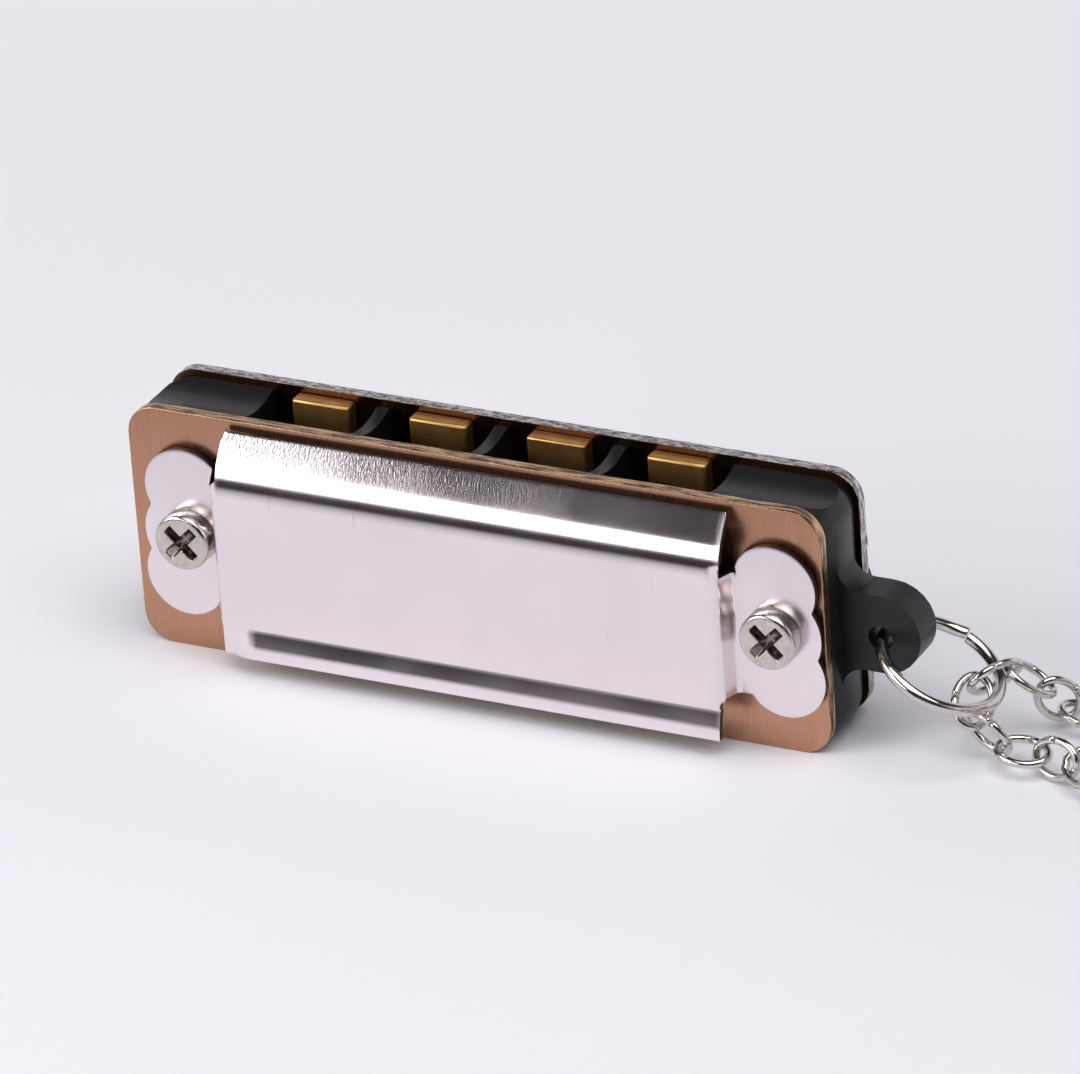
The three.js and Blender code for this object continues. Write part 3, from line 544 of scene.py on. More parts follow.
# %% Plated wire finish
plated_wire, tree, output = new_material("nickel-plated drawn steel wire")
where = add_node(tree, "ShaderNodeTexCoord")
pits = add_node(tree, "ShaderNodeTexNoise", {
    "Vector": where.outputs["Object"], "Scale": per_mm(0.25), "Detail": 4.0})
rough = add_node(tree, "ShaderNodeMapRange", {
    "Value": pits.outputs["Fac"], "From Min": 0.35, "From Max": 0.75, "To Min": 0.07, "To Max": 0.22})
tone = add_node(tree, "ShaderNodeMix", {
    0: pits.outputs["Fac"], 6: linear("#E4E0DE"), 7: linear("#BDB6B2")}, data_type="RGBA")
bump = add_node(tree, "ShaderNodeBump", {
    "Height": pits.outputs["Fac"], "Strength": 0.25, "Distance": 0.01 * MM})
shader = add_node(tree, "ShaderNodeBsdfPrincipled", {
    "Base Color": tone.outputs[2], "Metallic": 1.0, "Roughness": rough.outputs[0], "Normal": bump.outputs[0]})
tree.links.new(shader.outputs[0], output.inputs[0])
print("finish:", plated_wire.name)

# %% [markdown]
# All links, shown and put away, become one mesh, because the whole chain is one body of the model. The links
# touch without being joined, so their points are not welded.

# %% Make the chain
link_nodes = [f"chain_link_{i + 1}" for i in range(len(link_rolls))]
chain_faces = near_faces + [[corner + len(near_points) for corner in face] for face in far_faces]
chain_mesh = new_mesh("neck_chain", np.concatenate([near_points, far_points]), chain_faces, weld_mm=0)
chain_nodes = link_nodes + ["chain_hank"]
chain = place_piece("neck_chain", chain_mesh, plated_wire, "chain", chain_nodes)
print("chain faces:", len(chain_faces))

# %% [markdown]
# The tie is a strip of black paper with a wire core, as chains are bound for the shop. To the eye the paper
# is dull and nearly black, with grey fibres.

# %% Tie paper finish
tie_paper, tree, output = new_material("black tie paper")
where = add_node(tree, "ShaderNodeTexCoord")
fibre = add_node(tree, "ShaderNodeTexNoise", {"Vector": where.outputs["Object"], "Scale": per_mm(0.15)})
tone = add_node(tree, "ShaderNodeMix", {
    0: fibre.outputs["Fac"], 6: linear("#1E1D20"), 7: linear("#343236")}, data_type="RGBA")
shader = add_node(tree, "ShaderNodeBsdfPrincipled", {"Base Color": tone.outputs[2], "Roughness": 0.7})
tree.links.new(shader.outputs[0], output.inputs[0])
print("finish:", tie_paper.name)

# %% [markdown]
# A strip that is pulled tight runs straight from one outermost link to the next, so in each direction round
# the hank it lies at the link point that is furthest out in that direction. The floor flattens it below, and
# its core shows as a ridge along its middle.

# %% Tie
TIE_SHEET, TIE_SLACK, TIE_RIDGE, TIE_CORE = 0.25, 0.3, 0.12, 0.35
TIE_STEPS, TIE_COLUMNS = 181, 9
tie_low, tie_high = (np.array(corner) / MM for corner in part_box("hank_tie"))
way_round = np.linspace(0, 2 * math.pi, TIE_STEPS)
towards = np.stack([np.cos(way_round), np.sin(way_round)], -1)
under_tie = far_points[(far_points[:, 0] > tie_low[0]) & (far_points[:, 0] < tie_high[0]), 1:]
furthest = under_tie[np.argmax(towards @ under_tie.T, 1)]
# Across the strip: the outer side from edge to edge, then the two edges of the inner side
outer_x = np.linspace(tie_low[0], tie_high[0], TIE_COLUMNS)
ridge = TIE_RIDGE * np.exp(-((outer_x - outer_x.mean()) / TIE_CORE) ** 2)
strip_x = np.concatenate([outer_x, outer_x[[-1, 0]]])
outward = TIE_SLACK + np.concatenate([TIE_SHEET + ridge, [0, 0]])
lowest = np.where(outward > TIE_SLACK, 0, TIE_SHEET)
strip_y = np.clip(furthest[:, :1] + outward * towards[:, :1], tie_low[1], tie_high[1])
strip_z = np.clip(furthest[:, 1:] + outward * towards[:, 1:], lowest, tie_high[2])
strip = np.stack(np.broadcast_arrays(strip_x, strip_y, strip_z), -1)
tie_mesh = new_mesh("hank_tie", strip.reshape(-1, 3), grid_faces(*strip.shape[:2], closed=True))
tie = place_piece("hank_tie_piece", tie_mesh, tie_paper, "chain", ["hank_tie"])
break_edges(tie, width_mm=0.05)
print("tie from", strip.min((0, 1)).round(2), "to", strip.max((0, 1)).round(2))

# %% [markdown]
# ## The jump ring
#
# The ring is round wire, cut and bent shut: its two ends meet in a butt joint that never quite lines up.
# A torus would show no joint, so the wire's skin is worked out as a circle carried round a larger circle,
# and one end steps a little to the side.

# %% Ring
RING_WIRE = 0.65
RING_JOINT, RING_JOINT_TURN = 0.08, math.radians(90)
RING_END_STEP, RING_END_TURN = 0.14, 0.16
RING_STEPS, RING_SIDES = 160, 28

ring_middle = ring_hang + RING_MEAN / 2 * ring_out
ring_across = np.array([0, 1.0, 0])
ring_axis = np.cross(ring_out, ring_across)
half_gap = RING_JOINT / RING_MEAN
t = np.linspace(RING_JOINT_TURN + half_gap, RING_JOINT_TURN + 2 * math.pi - half_gap, RING_STEPS)[:, None]
v = np.linspace(0, 2 * math.pi, RING_SIDES, endpoint=False)[None, :, None]
spoke = np.cos(t) * ring_out + np.sin(t) * ring_across
end_step = RING_END_STEP * np.exp(-((t - t[0]) / RING_END_TURN) ** 2)
line = ring_middle + RING_MEAN / 2 * spoke + end_step * ring_axis
skin = line[:, None] + RING_WIRE / 2 * (np.cos(v) * spoke[:, None] + np.sin(v) * ring_axis)
ring_faces = tube_faces(RING_STEPS, RING_SIDES)
ring_mesh = new_mesh("jump_ring", skin.reshape(-1, 3), ring_faces)
ring = place_piece("jump_ring", ring_mesh, plated_wire, "ring", ["hanging_ring"])
break_edges(ring, width_mm=0.04, angle=60)
print("ring faces:", len(ring_faces))

# %% [markdown]
# The chain goes back to the ring it came from. Its route runs from the ring along the upper strand, through
# the hank and back along the lower strand.

# %% [markdown]
# ## The covers
#
# A cover is one stamping of bright tinned sheet, 0.3 mm thick. Its section runs from the slanted mouth
# flange over a wide soft fold to the flat face, and out into the rear lip, which is bent twice. The section
# could be drawn as straight lines with rounded corners, but a press leaves no two bends alike, and each is
# easiest to draw by its angle: along each stretch the angle changes evenly, and the points are running sums.

# %% Section of the cover
COVER_SHEET = 0.3
PLATE_FACE, PLATE_MIDDLE = 2.6, 6.6
FLANGE_EDGE = np.array([0.23, 12.7])
# Flange, fold, flat in three, lip in four: length in mm, first and last angle from upright, steps
SECTION_BENDS = [
    (1.52, 37, 32, 8), (1.79, 32, 0, 18), (0.1, 0, 0, 1), (6.6, 0, 0, 24), (0.45, 0, 0, 2),
    (0.12, 0, 14.8, 3), (1.0, 14.8, 15, 5), (0.1, 15, 3, 3), (0.42, 3, 3, 3),
]


def bent_line(bends):
    """The running sums of sine x step and cosine x step along stretches whose angle changes evenly."""
    steps = np.concatenate([np.full(count, length / count) for length, _, _, count in bends])
    angles = np.concatenate([a + (b - a) * (np.arange(n) + 0.5) / n for _, a, b, n in bends])
    turned = np.radians(angles)
    sums = np.cumsum(np.stack([np.sin(turned), np.cos(turned)], -1) * steps[:, None], 0)
    return np.vstack([[0, 0], sums])


# Rows from the flange's edge to the lip's edge: rise from the plate and height
section = FLANGE_EDGE + bent_line(SECTION_BENDS) * [1, -1]
first_neck_row = sum(count for *_, count in SECTION_BENDS[:3])
neck_rows = SECTION_BENDS[3][3] + 1
neck_z = section[first_neck_row:first_neck_row + neck_rows, 1]
flat_rise = section[first_neck_row, 0]
print("flat face from", section[first_neck_row - 1], "to lip edge", section[-1])

# %% [markdown]
# The ends are cut straight at the flange and at the lip. Between them the sheet is drawn down through an
# S-bend, the neck, into a three-lobed ear under the screw. The neck's line is bent by angles as the section
# is, and its wall is as long as the drop from the flat face to the ear needs.

# %% Neck
NECK_START, NECK_ANGLE, END_ANGLE = 13.4, 70, 65
END_RADIUS, EAR_RADIUS, EAR_RISE = 0.45, 0.45, 0.35

steep = math.radians(NECK_ANGLE)
wall = (flat_rise - EAR_RISE - (END_RADIUS + EAR_RADIUS) * (1 - math.cos(steep))) / math.sin(steep)
# Bend in two, wall, foot: length in mm, first and last angle from the flat face, steps
neck_bends = [
    (END_RADIUS * math.radians(END_ANGLE), 0, END_ANGLE, 10),
    (END_RADIUS * math.radians(NECK_ANGLE - END_ANGLE), END_ANGLE, NECK_ANGLE, 1),
    (wall, NECK_ANGLE, NECK_ANGLE, 2),
    (EAR_RADIUS * steep, NECK_ANGLE, 0, 8),
]
neck_line = np.array([0, NECK_START]) + bent_line(neck_bends)
print("neck's drop and reach:", neck_line[-1].round(2))

# %% [markdown]
# The panel is a grid: rows of the section by columns along the cover. At the corners its outermost columns
# blend from the straight cut into the neck's first bend, and between the corners the neck takes their place.
# A Boolean could cut the sheet away there, but faces left out of a grid keep its points, and the neck's
# edges weld to them.

# %% Panel
# Left and right: how far the cut ends reach at the flange and at the lip, and the flange's corner radius
FLANGE_ENDS, LIP_ENDS, FLANGE_CORNERS = (13.5, 14.1), (13.68, 13.8), (0.7, 0.35)
# Over what rise at the fold and what height at the lip an end is drawn down, and over what length the lip
# takes its flare
DRAWN_RISE, DRAWN_HEIGHT, LIP_FADE = 0.08, 0.5, 1.2
MIDDLE_COLUMNS = 45

end_columns = neck_bends[0][3]
arc_drop, arc_out = (neck_line[1:end_columns + 1] - [0, NECK_START]).T
corner = np.array(FLANGE_CORNERS)[:, None]
from_edge = np.clip(corner - COVER_SHEET / 2 - (section[0, 1] - section[:, 1]), 0, None)
shorter = corner - np.sqrt(corner ** 2 - from_edge ** 2)
is_lip = section[:, 1] < neck_z[-1]
ends = np.where(is_lip, np.array(LIP_ENDS)[:, None], np.array(FLANGE_ENDS)[:, None] - shorter)
below_fold = smooth_step(section[:, 0], flat_rise - DRAWN_RISE, flat_rise)
above_lip = smooth_step(section[:, 1], neck_z[-1] - DRAWN_HEIGHT, neck_z[-1])
drawn_down = below_fold * above_lip
reach = drawn_down * arc_out[-1] + (1 - drawn_down) * (ends - NECK_START)
end_out = reach[..., None] * arc_out / arc_out[-1]
end_drop = drawn_down[:, None] * arc_drop
middle_along = NECK_START * np.sin(np.linspace(-math.pi / 2, math.pi / 2, MIDDLE_COLUMNS))
middle_along = np.tile(middle_along, (len(section), 1))
along = np.concatenate([-NECK_START - end_out[0, :, ::-1], middle_along, NECK_START + end_out[1]], 1)
drop = np.concatenate([end_drop[:, ::-1], 0 * middle_along, end_drop], 1)

# The lip flattens out towards its left end
flared = np.where(is_lip[:, None], smooth_step(along, -NECK_START, LIP_FADE - NECK_START), 1)
rise = flat_rise + (section[:, None, 0] - flat_rise) * flared - drop
panel = np.stack([along, rise, np.broadcast_to(section[:, None, 1], along.shape)], -1)
rows, columns = along.shape
quads = grid_faces(rows, columns)
quad_row, quad_column = quads[:, 0] // columns, quads[:, 0] % columns
beyond = (quad_column < end_columns) | (quad_column >= columns - 1 - end_columns)
in_neck = (quad_row >= first_neck_row) & (quad_row < first_neck_row + neck_rows - 1)
panel_faces = quads[~(beyond & in_neck)]
print("panel rows and columns:", rows, columns)

# %% [markdown]
# The ear's outline is the edge of three discs round the screw. A Boolean union could join the discs, but seen
# from the screw the outline has one edge in every direction, so the ear is drawn as rings from the screw
# hole out to that edge and to the foot of the neck.

# %% Ears
SCREW_OUT, SCREW_HOLE, COVER_SHIFT = 16.1, 1.9, 0.4
# The pressing sits this far to the left of the middle between its screw holes
PANEL_SHIFT = -0.25
# Lobes of an ear from its screw: out, up, radius
LOBES = [(0.05, 2.5, 2.25), (0.0, 0.0, 2.5), (0.4, -2.3, 2.2)]
RIM_POINTS = 108
# Rings of an ear as shares of the way from the screw hole to the edge
EAR_RINGS = np.array([0, 0.2, 0.5, 0.8, 0.95, 1.0])[:, None, None]


def lobe_reach(angles):
    """Distance from the screw to the ear's edge in each direction: the furthest exit of a ray from the
    three discs and from the web that joins them to the neck."""
    towards = np.stack([np.cos(angles), np.sin(angles)], -1)
    reach = np.zeros(len(angles))
    for out, above, radius in LOBES:
        along_ray = towards @ [out, above]
        inside = radius ** 2 - out ** 2 - above ** 2 + along_ray ** 2
        reach = np.maximum(reach, np.where(inside > 0, along_ray + np.sqrt(np.maximum(inside, 0)), 0))
    edge = np.where(towards[:, 1] > 0, neck_z[0] - PLATE_MIDDLE, PLATE_MIDDLE - neck_z[-1])
    web = np.where(towards[:, 0] < 0, edge / np.maximum(np.abs(towards[:, 1]), TINY), 0)
    return np.maximum(reach, web)


patches = [(panel.reshape(-1, 3) + [PANEL_SHIFT, 0, 0], panel_faces)]
for side in (-1, 1):
    neck_along = neck_line[None, :, 1] + side * PANEL_SHIFT
    neck_rise = flat_rise - neck_line[None, :, 0]
    neck = np.stack(np.broadcast_arrays(neck_along, neck_rise, neck_z[:, None]), -1)
    # The foot of the neck from the screw, out and up, and the directions of its two ends
    seam = neck[:, -1, ::2] - [SCREW_OUT, PLATE_MIDDLE]
    first, last = np.arctan2(seam[[-1, 0], 1], seam[[-1, 0], 0])
    angles = np.linspace(first, last + (2 * math.pi if last < first else 0), RIM_POINTS + 2)[1:-1]
    rim = lobe_reach(angles)[:, None] * np.stack([np.cos(angles), np.sin(angles)], -1)
    edge = np.concatenate([seam, rim])
    ear = SCREW_HOLE / 2 * unit(edge) * (1 - EAR_RINGS) + edge * EAR_RINGS
    level = np.full(ear.shape[:2], neck[0, -1, 1])
    ear = np.stack([SCREW_OUT + ear[..., 0], level, PLATE_MIDDLE + ear[..., 1]], -1)
    mirror = np.array([side, 1, 1])
    patches.append((neck.reshape(-1, 3) * mirror, grid_faces(*neck.shape[:2])))
    patches.append((ear.reshape(-1, 3) * mirror, grid_faces(*ear.shape[:2], closed=True)))
offsets = np.cumsum([0] + [len(points) for points, _ in patches])
sheet_points = np.concatenate([points for points, _ in patches])
sheet_faces = np.concatenate([faces + offset for (_, faces), offset in zip(patches, offsets)])
print("points in a cover's sheet:", len(sheet_points))

# %% [markdown]
# Tinned sheet is a bright, slightly soft mirror, with a few hair-thin scratches from handling. Where the
# press bent or stretched it, at the fold, the necks and the ears, it is a little duller, and the flange,
# which slid over the drawing die, has fine marks along its slope. The noise for the marks is drawn a little
# coarser than life so that it shows. One material serves the whole sheet, and the places are told apart by
# their height and their distance from the middle.

# %% Tinned sheet finish
# Heights and distances from the middle in mm over which the finish changes, and the added roughness
FLANGE_MARKS, FOLD_FOOT, FOLD_HEAD, NECK_STRETCH = (11.2, 12.2), (9.6, 10.6), (11.7, 11.2), (13.3, 13.9)
FLANGE_DULL, FOLD_DULL, NECK_DULL = 0.03, 0.06, 0.17

tinned_sheet, tree, output = new_material("tinned and polished stamped sheet")
where = add_node(tree, "ShaderNodeTexCoord")
axes = add_node(tree, "ShaderNodeSeparateXYZ", {0: where.outputs["Object"]})
cloud = add_node(tree, "ShaderNodeTexNoise", {
    "Vector": where.outputs["Object"], "Scale": per_mm(5.0), "Detail": 3.0})
bright = add_node(tree, "ShaderNodeMix", {
    0: cloud.outputs["Fac"], 6: linear("#F2E8EC"), 7: linear("#E4DADD")}, data_type="RGBA")
hair_way = add_node(tree, "ShaderNodeMapping", {
    "Vector": where.outputs["Object"], "Rotation": (0.0, 0.7, 0.0), "Scale": (1.0, 1.0, 0.05)})
hairs = add_node(tree, "ShaderNodeTexNoise", {
    "Vector": hair_way.outputs[0], "Scale": per_mm(0.3), "Detail": 3.0})
hair_lines = add_node(tree, "ShaderNodeMapRange", {
    "Value": hairs.outputs["Fac"], "From Min": 0.72, "From Max": 0.82})
tone = add_node(tree, "ShaderNodeMix", {
    0: hair_lines.outputs[0], 6: bright.outputs[2], 7: linear("#B3AAB0")}, data_type="RGBA")

rough = add_node(tree, "ShaderNodeMapRange", {
    "Value": cloud.outputs["Fac"], "From Min": 0.3, "From Max": 0.7, "To Min": 0.06, "To Max": 0.1})
fold_foot = add_node(tree, "ShaderNodeMapRange", {
    "Value": axes.outputs["Z"], "From Min": FOLD_FOOT[0] * MM, "From Max": FOLD_FOOT[1] * MM,
    "To Max": FOLD_DULL})
fold_head = add_node(tree, "ShaderNodeMapRange", {
    "Value": axes.outputs["Z"], "From Min": FOLD_HEAD[0] * MM, "From Max": FOLD_HEAD[1] * MM,
    "To Min": FLANGE_DULL, "To Max": FOLD_DULL})
bent = add_node(tree, "ShaderNodeMath", {
    0: fold_foot.outputs[0], 1: fold_head.outputs[0]}, operation="MINIMUM")
from_middle = add_node(tree, "ShaderNodeMath", {
    0: axes.outputs["X"], 1: COVER_SHIFT * MM}, operation="SUBTRACT")
outwards = add_node(tree, "ShaderNodeMath", {0: from_middle.outputs[0]}, operation="ABSOLUTE")
stretched = add_node(tree, "ShaderNodeMapRange", {
    "Value": outwards.outputs[0], "From Min": NECK_STRETCH[0] * MM, "From Max": NECK_STRETCH[1] * MM,
    "To Max": NECK_DULL})
worked = add_node(tree, "ShaderNodeMath", {
    0: bent.outputs[0], 1: stretched.outputs[0]}, operation="MAXIMUM")
dulled = add_node(tree, "ShaderNodeMath", {0: worked.outputs[0], 1: rough.outputs[0]}, operation="ADD")

down_slope = add_node(tree, "ShaderNodeMapping", {
    "Vector": where.outputs["Object"], "Scale": (1.0, 0.4, 0.4)})
grain = add_node(tree, "ShaderNodeTexNoise", {
    "Vector": down_slope.outputs[0], "Scale": per_mm(0.1), "Detail": 2.0})
on_flange = add_node(tree, "ShaderNodeMapRange", {
    "Value": axes.outputs["Z"], "From Min": FLANGE_MARKS[0] * MM, "From Max": FLANGE_MARKS[1] * MM})
marks = add_node(tree, "ShaderNodeMath", {
    0: grain.outputs["Fac"], 1: on_flange.outputs[0]}, operation="MULTIPLY")
bump = add_node(tree, "ShaderNodeBump", {
    "Height": marks.outputs[0], "Strength": 0.3, "Distance": 0.01 * MM})
shader = add_node(tree, "ShaderNodeBsdfPrincipled", {
    "Base Color": tone.outputs[2], "Metallic": 1.0, "Roughness": dulled.outputs[0],
    "Normal": bump.outputs[0]})
tree.links.new(shader.outputs[0], output.inputs[0])
print("finish:", tinned_sheet.name)

# %% [markdown]
# The press shears the sheet after it was tinned, so the cut edges are bare steel. Bare steel dulls to grey,
# and the edges are painted darker still as painted shade, for the shadow at the sheet's edges; that draws a
# dark line round every edge of the cover.

# %% Cut edge finish
cut_edge_painted_shade, tree, output = new_material("sheared steel edge darkened as painted shade")
where = add_node(tree, "ShaderNodeTexCoord")
tears = add_node(tree, "ShaderNodeTexNoise", {
    "Vector": where.outputs["Object"], "Scale": per_mm(0.12), "Detail": 3.0})
# The edge colour is darker than dull steel: painted shade for the shadow at the sheet's edges.
tone = add_node(tree, "ShaderNodeMix", {
    0: tears.outputs["Fac"], 6: linear("#2B2728"), 7: linear("#554E4E")}, data_type="RGBA")
shader = add_node(tree, "ShaderNodeBsdfPrincipled", {
    "Base Color": tone.outputs[2], "Metallic": 1.0, "Roughness": 0.5})
tree.links.new(shader.outputs[0], output.inputs[0])
print("finish:", cut_edge_painted_shade.name)

# %% [markdown]
# Front and back cover come from one press tool: the back one is the same stamping turned half round about the
# upright axis. Solidify gives the sheet its thickness, half to each side, and puts the bare steel edge,
# darkened as painted shade, on the rim that it makes.

# %% Make the covers
for node, facing in (("front_cover", -1), ("back_cover", 1)):
    placed = np.stack([
        COVER_SHIFT - facing * sheet_points[:, 0],
        facing * (PLATE_FACE + sheet_points[:, 1]),
        sheet_points[:, 2],
    ], -1)
    mesh = new_mesh(node, placed, sheet_faces, weld_mm=0.002)
    cover = place_piece(f"{node}_sheet", mesh, tinned_sheet, "harmonica", [node])
    thick = cover.modifiers.new("sheet thickness", "SOLIDIFY")
    thick.thickness = COVER_SHEET * MM
    thick.offset = 0
    cover.data.materials.append(cut_edge_painted_shade)
    thick.material_offset_rim = 1
    break_edges(cover, width_mm=0.05, angle=50)
    print(node, "faces:", len(cover.data.polygons))

# %% [markdown]
# ## The reed plates
#
# The plates are cut from copper alloy strip. The outer faces were brushed across the short way and have
# browned a little in use. The inner faces, shut in against the comb, are painted dark brown as painted shade,
# for the shadow between plate and comb. The sheared edges are bare and torn into fine streaks along the cut.
# Each could have a material of its own, but the brushing runs on over all of them, so two face attributes
# tell one shader which faces are edges and which lie inside.


# %% Plate finish
def plate_material(name, edge_light, edge_dark, streak):
    """Brushed, browned copper alloy with a torn edge in two given colours, its streaks this much longer than
    they are wide, and the inner faces painted dark as painted shade."""
    material, tree, output = new_material(name)
    where = add_node(tree, "ShaderNodeTexCoord")
    upright = add_node(tree, "ShaderNodeMapping", {
        "Vector": where.outputs["Object"], "Scale": (1.0, 1.0, 0.03)})
    brush = add_node(tree, "ShaderNodeTexNoise", {
        "Vector": upright.outputs[0], "Scale": per_mm(0.10), "Detail": 3.0})
    cloud = add_node(tree, "ShaderNodeTexNoise", {
        "Vector": where.outputs["Object"], "Scale": per_mm(4.0), "Detail": 3.0})
    face = add_node(tree, "ShaderNodeMix", {
        0: brush.outputs["Fac"], 6: linear("#CFA387"), 7: linear("#B0836A")}, data_type="RGBA")
    browned = add_node(tree, "ShaderNodeMix", {
        0: cloud.outputs["Fac"], 6: face.outputs[2], 7: linear("#B7886D")}, data_type="RGBA")
    # The inner faces get a dark brown: painted shade for the shadow between plate and comb.
    painted_inner_shade = add_node(tree, "ShaderNodeAttribute", attribute_name="painted_shade_inner")
    side = add_node(tree, "ShaderNodeMix", {
        0: painted_inner_shade.outputs["Fac"], 6: browned.outputs[2], 7: linear("#5E4234")}, data_type="RGBA")
    lengthwise = add_node(tree, "ShaderNodeMapping", {
        "Vector": where.outputs["Object"], "Scale": (1 / streak, 1.0, 1 / streak)})
    torn = add_node(tree, "ShaderNodeTexNoise", {
        "Vector": lengthwise.outputs[0], "Scale": per_mm(0.15), "Detail": 4.0, "Roughness": 0.65})
    contrast = add_node(tree, "ShaderNodeMapRange", {
        "Value": torn.outputs["Fac"], "From Min": 0.4, "From Max": 0.6})
    edge = add_node(tree, "ShaderNodeMix", {
        0: contrast.outputs[0], 6: linear(edge_dark), 7: linear(edge_light)}, data_type="RGBA")
    is_edge = add_node(tree, "ShaderNodeAttribute", attribute_name="edge")
    colour = add_node(tree, "ShaderNodeMix", {
        0: is_edge.outputs["Fac"], 6: side.outputs[2], 7: edge.outputs[2]}, data_type="RGBA")
    rough = add_node(tree, "ShaderNodeMapRange", {
        "Value": brush.outputs["Fac"], "To Min": 0.2, "To Max": 0.36})
    brush_bump = add_node(tree, "ShaderNodeBump", {
        "Height": brush.outputs["Fac"], "Strength": 0.25, "Distance": 0.01 * MM})
    torn_height = add_node(tree, "ShaderNodeMath", {
        0: torn.outputs["Fac"], 1: is_edge.outputs["Fac"]}, operation="MULTIPLY")
    bump = add_node(tree, "ShaderNodeBump", {
        "Height": torn_height.outputs[0], "Strength": 0.6, "Distance": 0.06 * MM,
        "Normal": brush_bump.outputs[0]})
    shader = add_node(tree, "ShaderNodeBsdfPrincipled", {
        "Base Color": colour.outputs[2], "Metallic": 1.0, "Roughness": rough.outputs[0],
        "Normal": bump.outputs[0]})
    tree.links.new(shader.outputs[0], output.inputs[0])
    print("finish:", name)
    return material


# %% [markdown]
# Both plates keep their CAD shape. The front one's edges are copper-coloured with long streaks, and the back
# one's are grey and torn in short ones. Faces could be picked out by hand, but a plate lies square to the
# frame, so a face's normal says whether it is an edge or an inner face.

# %% Plates
# Light and dark edge colour, length of the streaks, and the side that faces the comb
PLATES = {
    "front_reed_plate": ("#E0B78C", "#3C2A20", 10, 1),
    "back_reed_plate": ("#DCD6D2", "#5A5451", 3, -1),
}
# A face whose normal leans further than this to one side lies on that side, and the others are edges
FACES_SIDE = 0.5
for node, (edge_light, edge_dark, streak, comb_side) in PLATES.items():
    finish = plate_material(f"brushed copper alloy, {node}", edge_light, edge_dark, streak)
    plate = dressed(node, "harmonica", finish, edge_mm=0.05)
    normals = np.empty(3 * len(plate.data.polygons))
    plate.data.polygons.foreach_get("normal", normals)
    facing_y = normals[1::3]
    # Inner faces are marked so that the shader paints them dark as painted shade.
    face_marks = {"edge": np.abs(facing_y) < FACES_SIDE, "painted_shade_inner": facing_y * comb_side > FACES_SIDE}
    for name, marked in face_marks.items():
        plate.data.attributes.new(name, "FLOAT", "FACE").data.foreach_set("value", marked.astype(float))
        print(node, name, "faces:", int(marked.sum()))

# %% [markdown]
# ## The comb
#
# The comb is injection-moulded black plastic. A polished mould leaves a satin face that mirrors the room
# at a low angle, with soft ripples where the melt shrank, and slightly rounded corners that catch a thin
# line of light. Its chambers, dividers and lug are all in the CAD solid, so a copy with broken edges will do.

# %% Comb
black_plastic, tree, output = new_material("injection-moulded black plastic")
where = add_node(tree, "ShaderNodeTexCoord")
ripple = add_node(tree, "ShaderNodeTexNoise", {
    "Vector": where.outputs["Object"], "Scale": per_mm(1.5), "Detail": 2.0})
grain = add_node(tree, "ShaderNodeTexNoise", {
    "Vector": where.outputs["Object"], "Scale": per_mm(0.1), "Detail": 3.0})
tone = add_node(tree, "ShaderNodeMix", {
    0: ripple.outputs["Fac"], 6: linear("#0D0C0E"), 7: linear("#131214")}, data_type="RGBA")
rough = add_node(tree, "ShaderNodeMapRange", {
    "Value": grain.outputs["Fac"], "From Min": 0.3, "From Max": 0.7, "To Min": 0.3, "To Max": 0.46})
waves = add_node(tree, "ShaderNodeBump", {
    "Height": ripple.outputs["Fac"], "Strength": 0.3, "Distance": 0.05 * MM})
bump = add_node(tree, "ShaderNodeBump", {
    "Height": grain.outputs["Fac"], "Strength": 0.15, "Distance": 0.01 * MM, "Normal": waves.outputs[0]})
shader = add_node(tree, "ShaderNodeBsdfPrincipled", {
    "Base Color": tone.outputs[2], "Roughness": rough.outputs[0], "IOR": 1.53, "Specular IOR Level": 0.35,
    "Normal": bump.outputs[0]})
tree.links.new(shader.outputs[0], output.inputs[0])
comb = dressed("comb", "harmonica", black_plastic, edge_mm=0.12)
print("comb faces:", len(comb.data.polygons))

# %% [markdown]
# ## The reeds
#
# A reed is a strip of brass: a thick heel that is riveted to the plate and a tongue that was milled thin.
# The milling leaves fine marks across the strip: the eye gets a satin gold, streaked and a little stained.
# The strips are plain shapes, so they too are copies with broken edges, widest on the heels.

# %% Reeds and rivets
reed_brass, tree, output = new_material("milled reed brass")
where = add_node(tree, "ShaderNodeTexCoord")
across = add_node(tree, "ShaderNodeMapping", {
    "Vector": where.outputs["Object"], "Scale": (0.08, 1.0, 1.0)})
mill = add_node(tree, "ShaderNodeTexNoise", {
    "Vector": across.outputs[0], "Scale": per_mm(0.09), "Detail": 2.0})
stain = add_node(tree, "ShaderNodeTexNoise", {
    "Vector": where.outputs["Object"], "Scale": per_mm(0.8), "Detail": 3.0})
fresh = add_node(tree, "ShaderNodeMix", {
    0: mill.outputs["Fac"], 6: linear("#FADC98"), 7: linear("#C48E4A")}, data_type="RGBA")
tone = add_node(tree, "ShaderNodeMix", {
    0: stain.outputs["Fac"], 6: fresh.outputs[2], 7: linear("#B87E44")}, data_type="RGBA")
rough = add_node(tree, "ShaderNodeMapRange", {
    "Value": mill.outputs["Fac"], "To Min": 0.32, "To Max": 0.5})
bump = add_node(tree, "ShaderNodeBump", {
    "Height": mill.outputs["Fac"], "Strength": 0.3, "Distance": 0.01 * MM})
shader = add_node(tree, "ShaderNodeBsdfPrincipled", {
    "Base Color": tone.outputs[2], "Metallic": 1.0, "Roughness": rough.outputs[0], "Normal": bump.outputs[0]})
tree.links.new(shader.outputs[0], output.inputs[0])

HOLES = 4
for kind in ("blow", "draw"):
    for i in range(1, HOLES + 1):
        dressed(f"{kind}_reed_heel_{i}", "harmonica", reed_brass, edge_mm=0.16)
        dressed(f"{kind}_rivet_{i}", "harmonica", reed_brass, edge_mm=0.04)
        dressed(f"{kind}_reed_{i}", f"{kind}_tongue_{i}", reed_brass, edge_mm=0.02)
print("reeds:", 2 * HOLES)
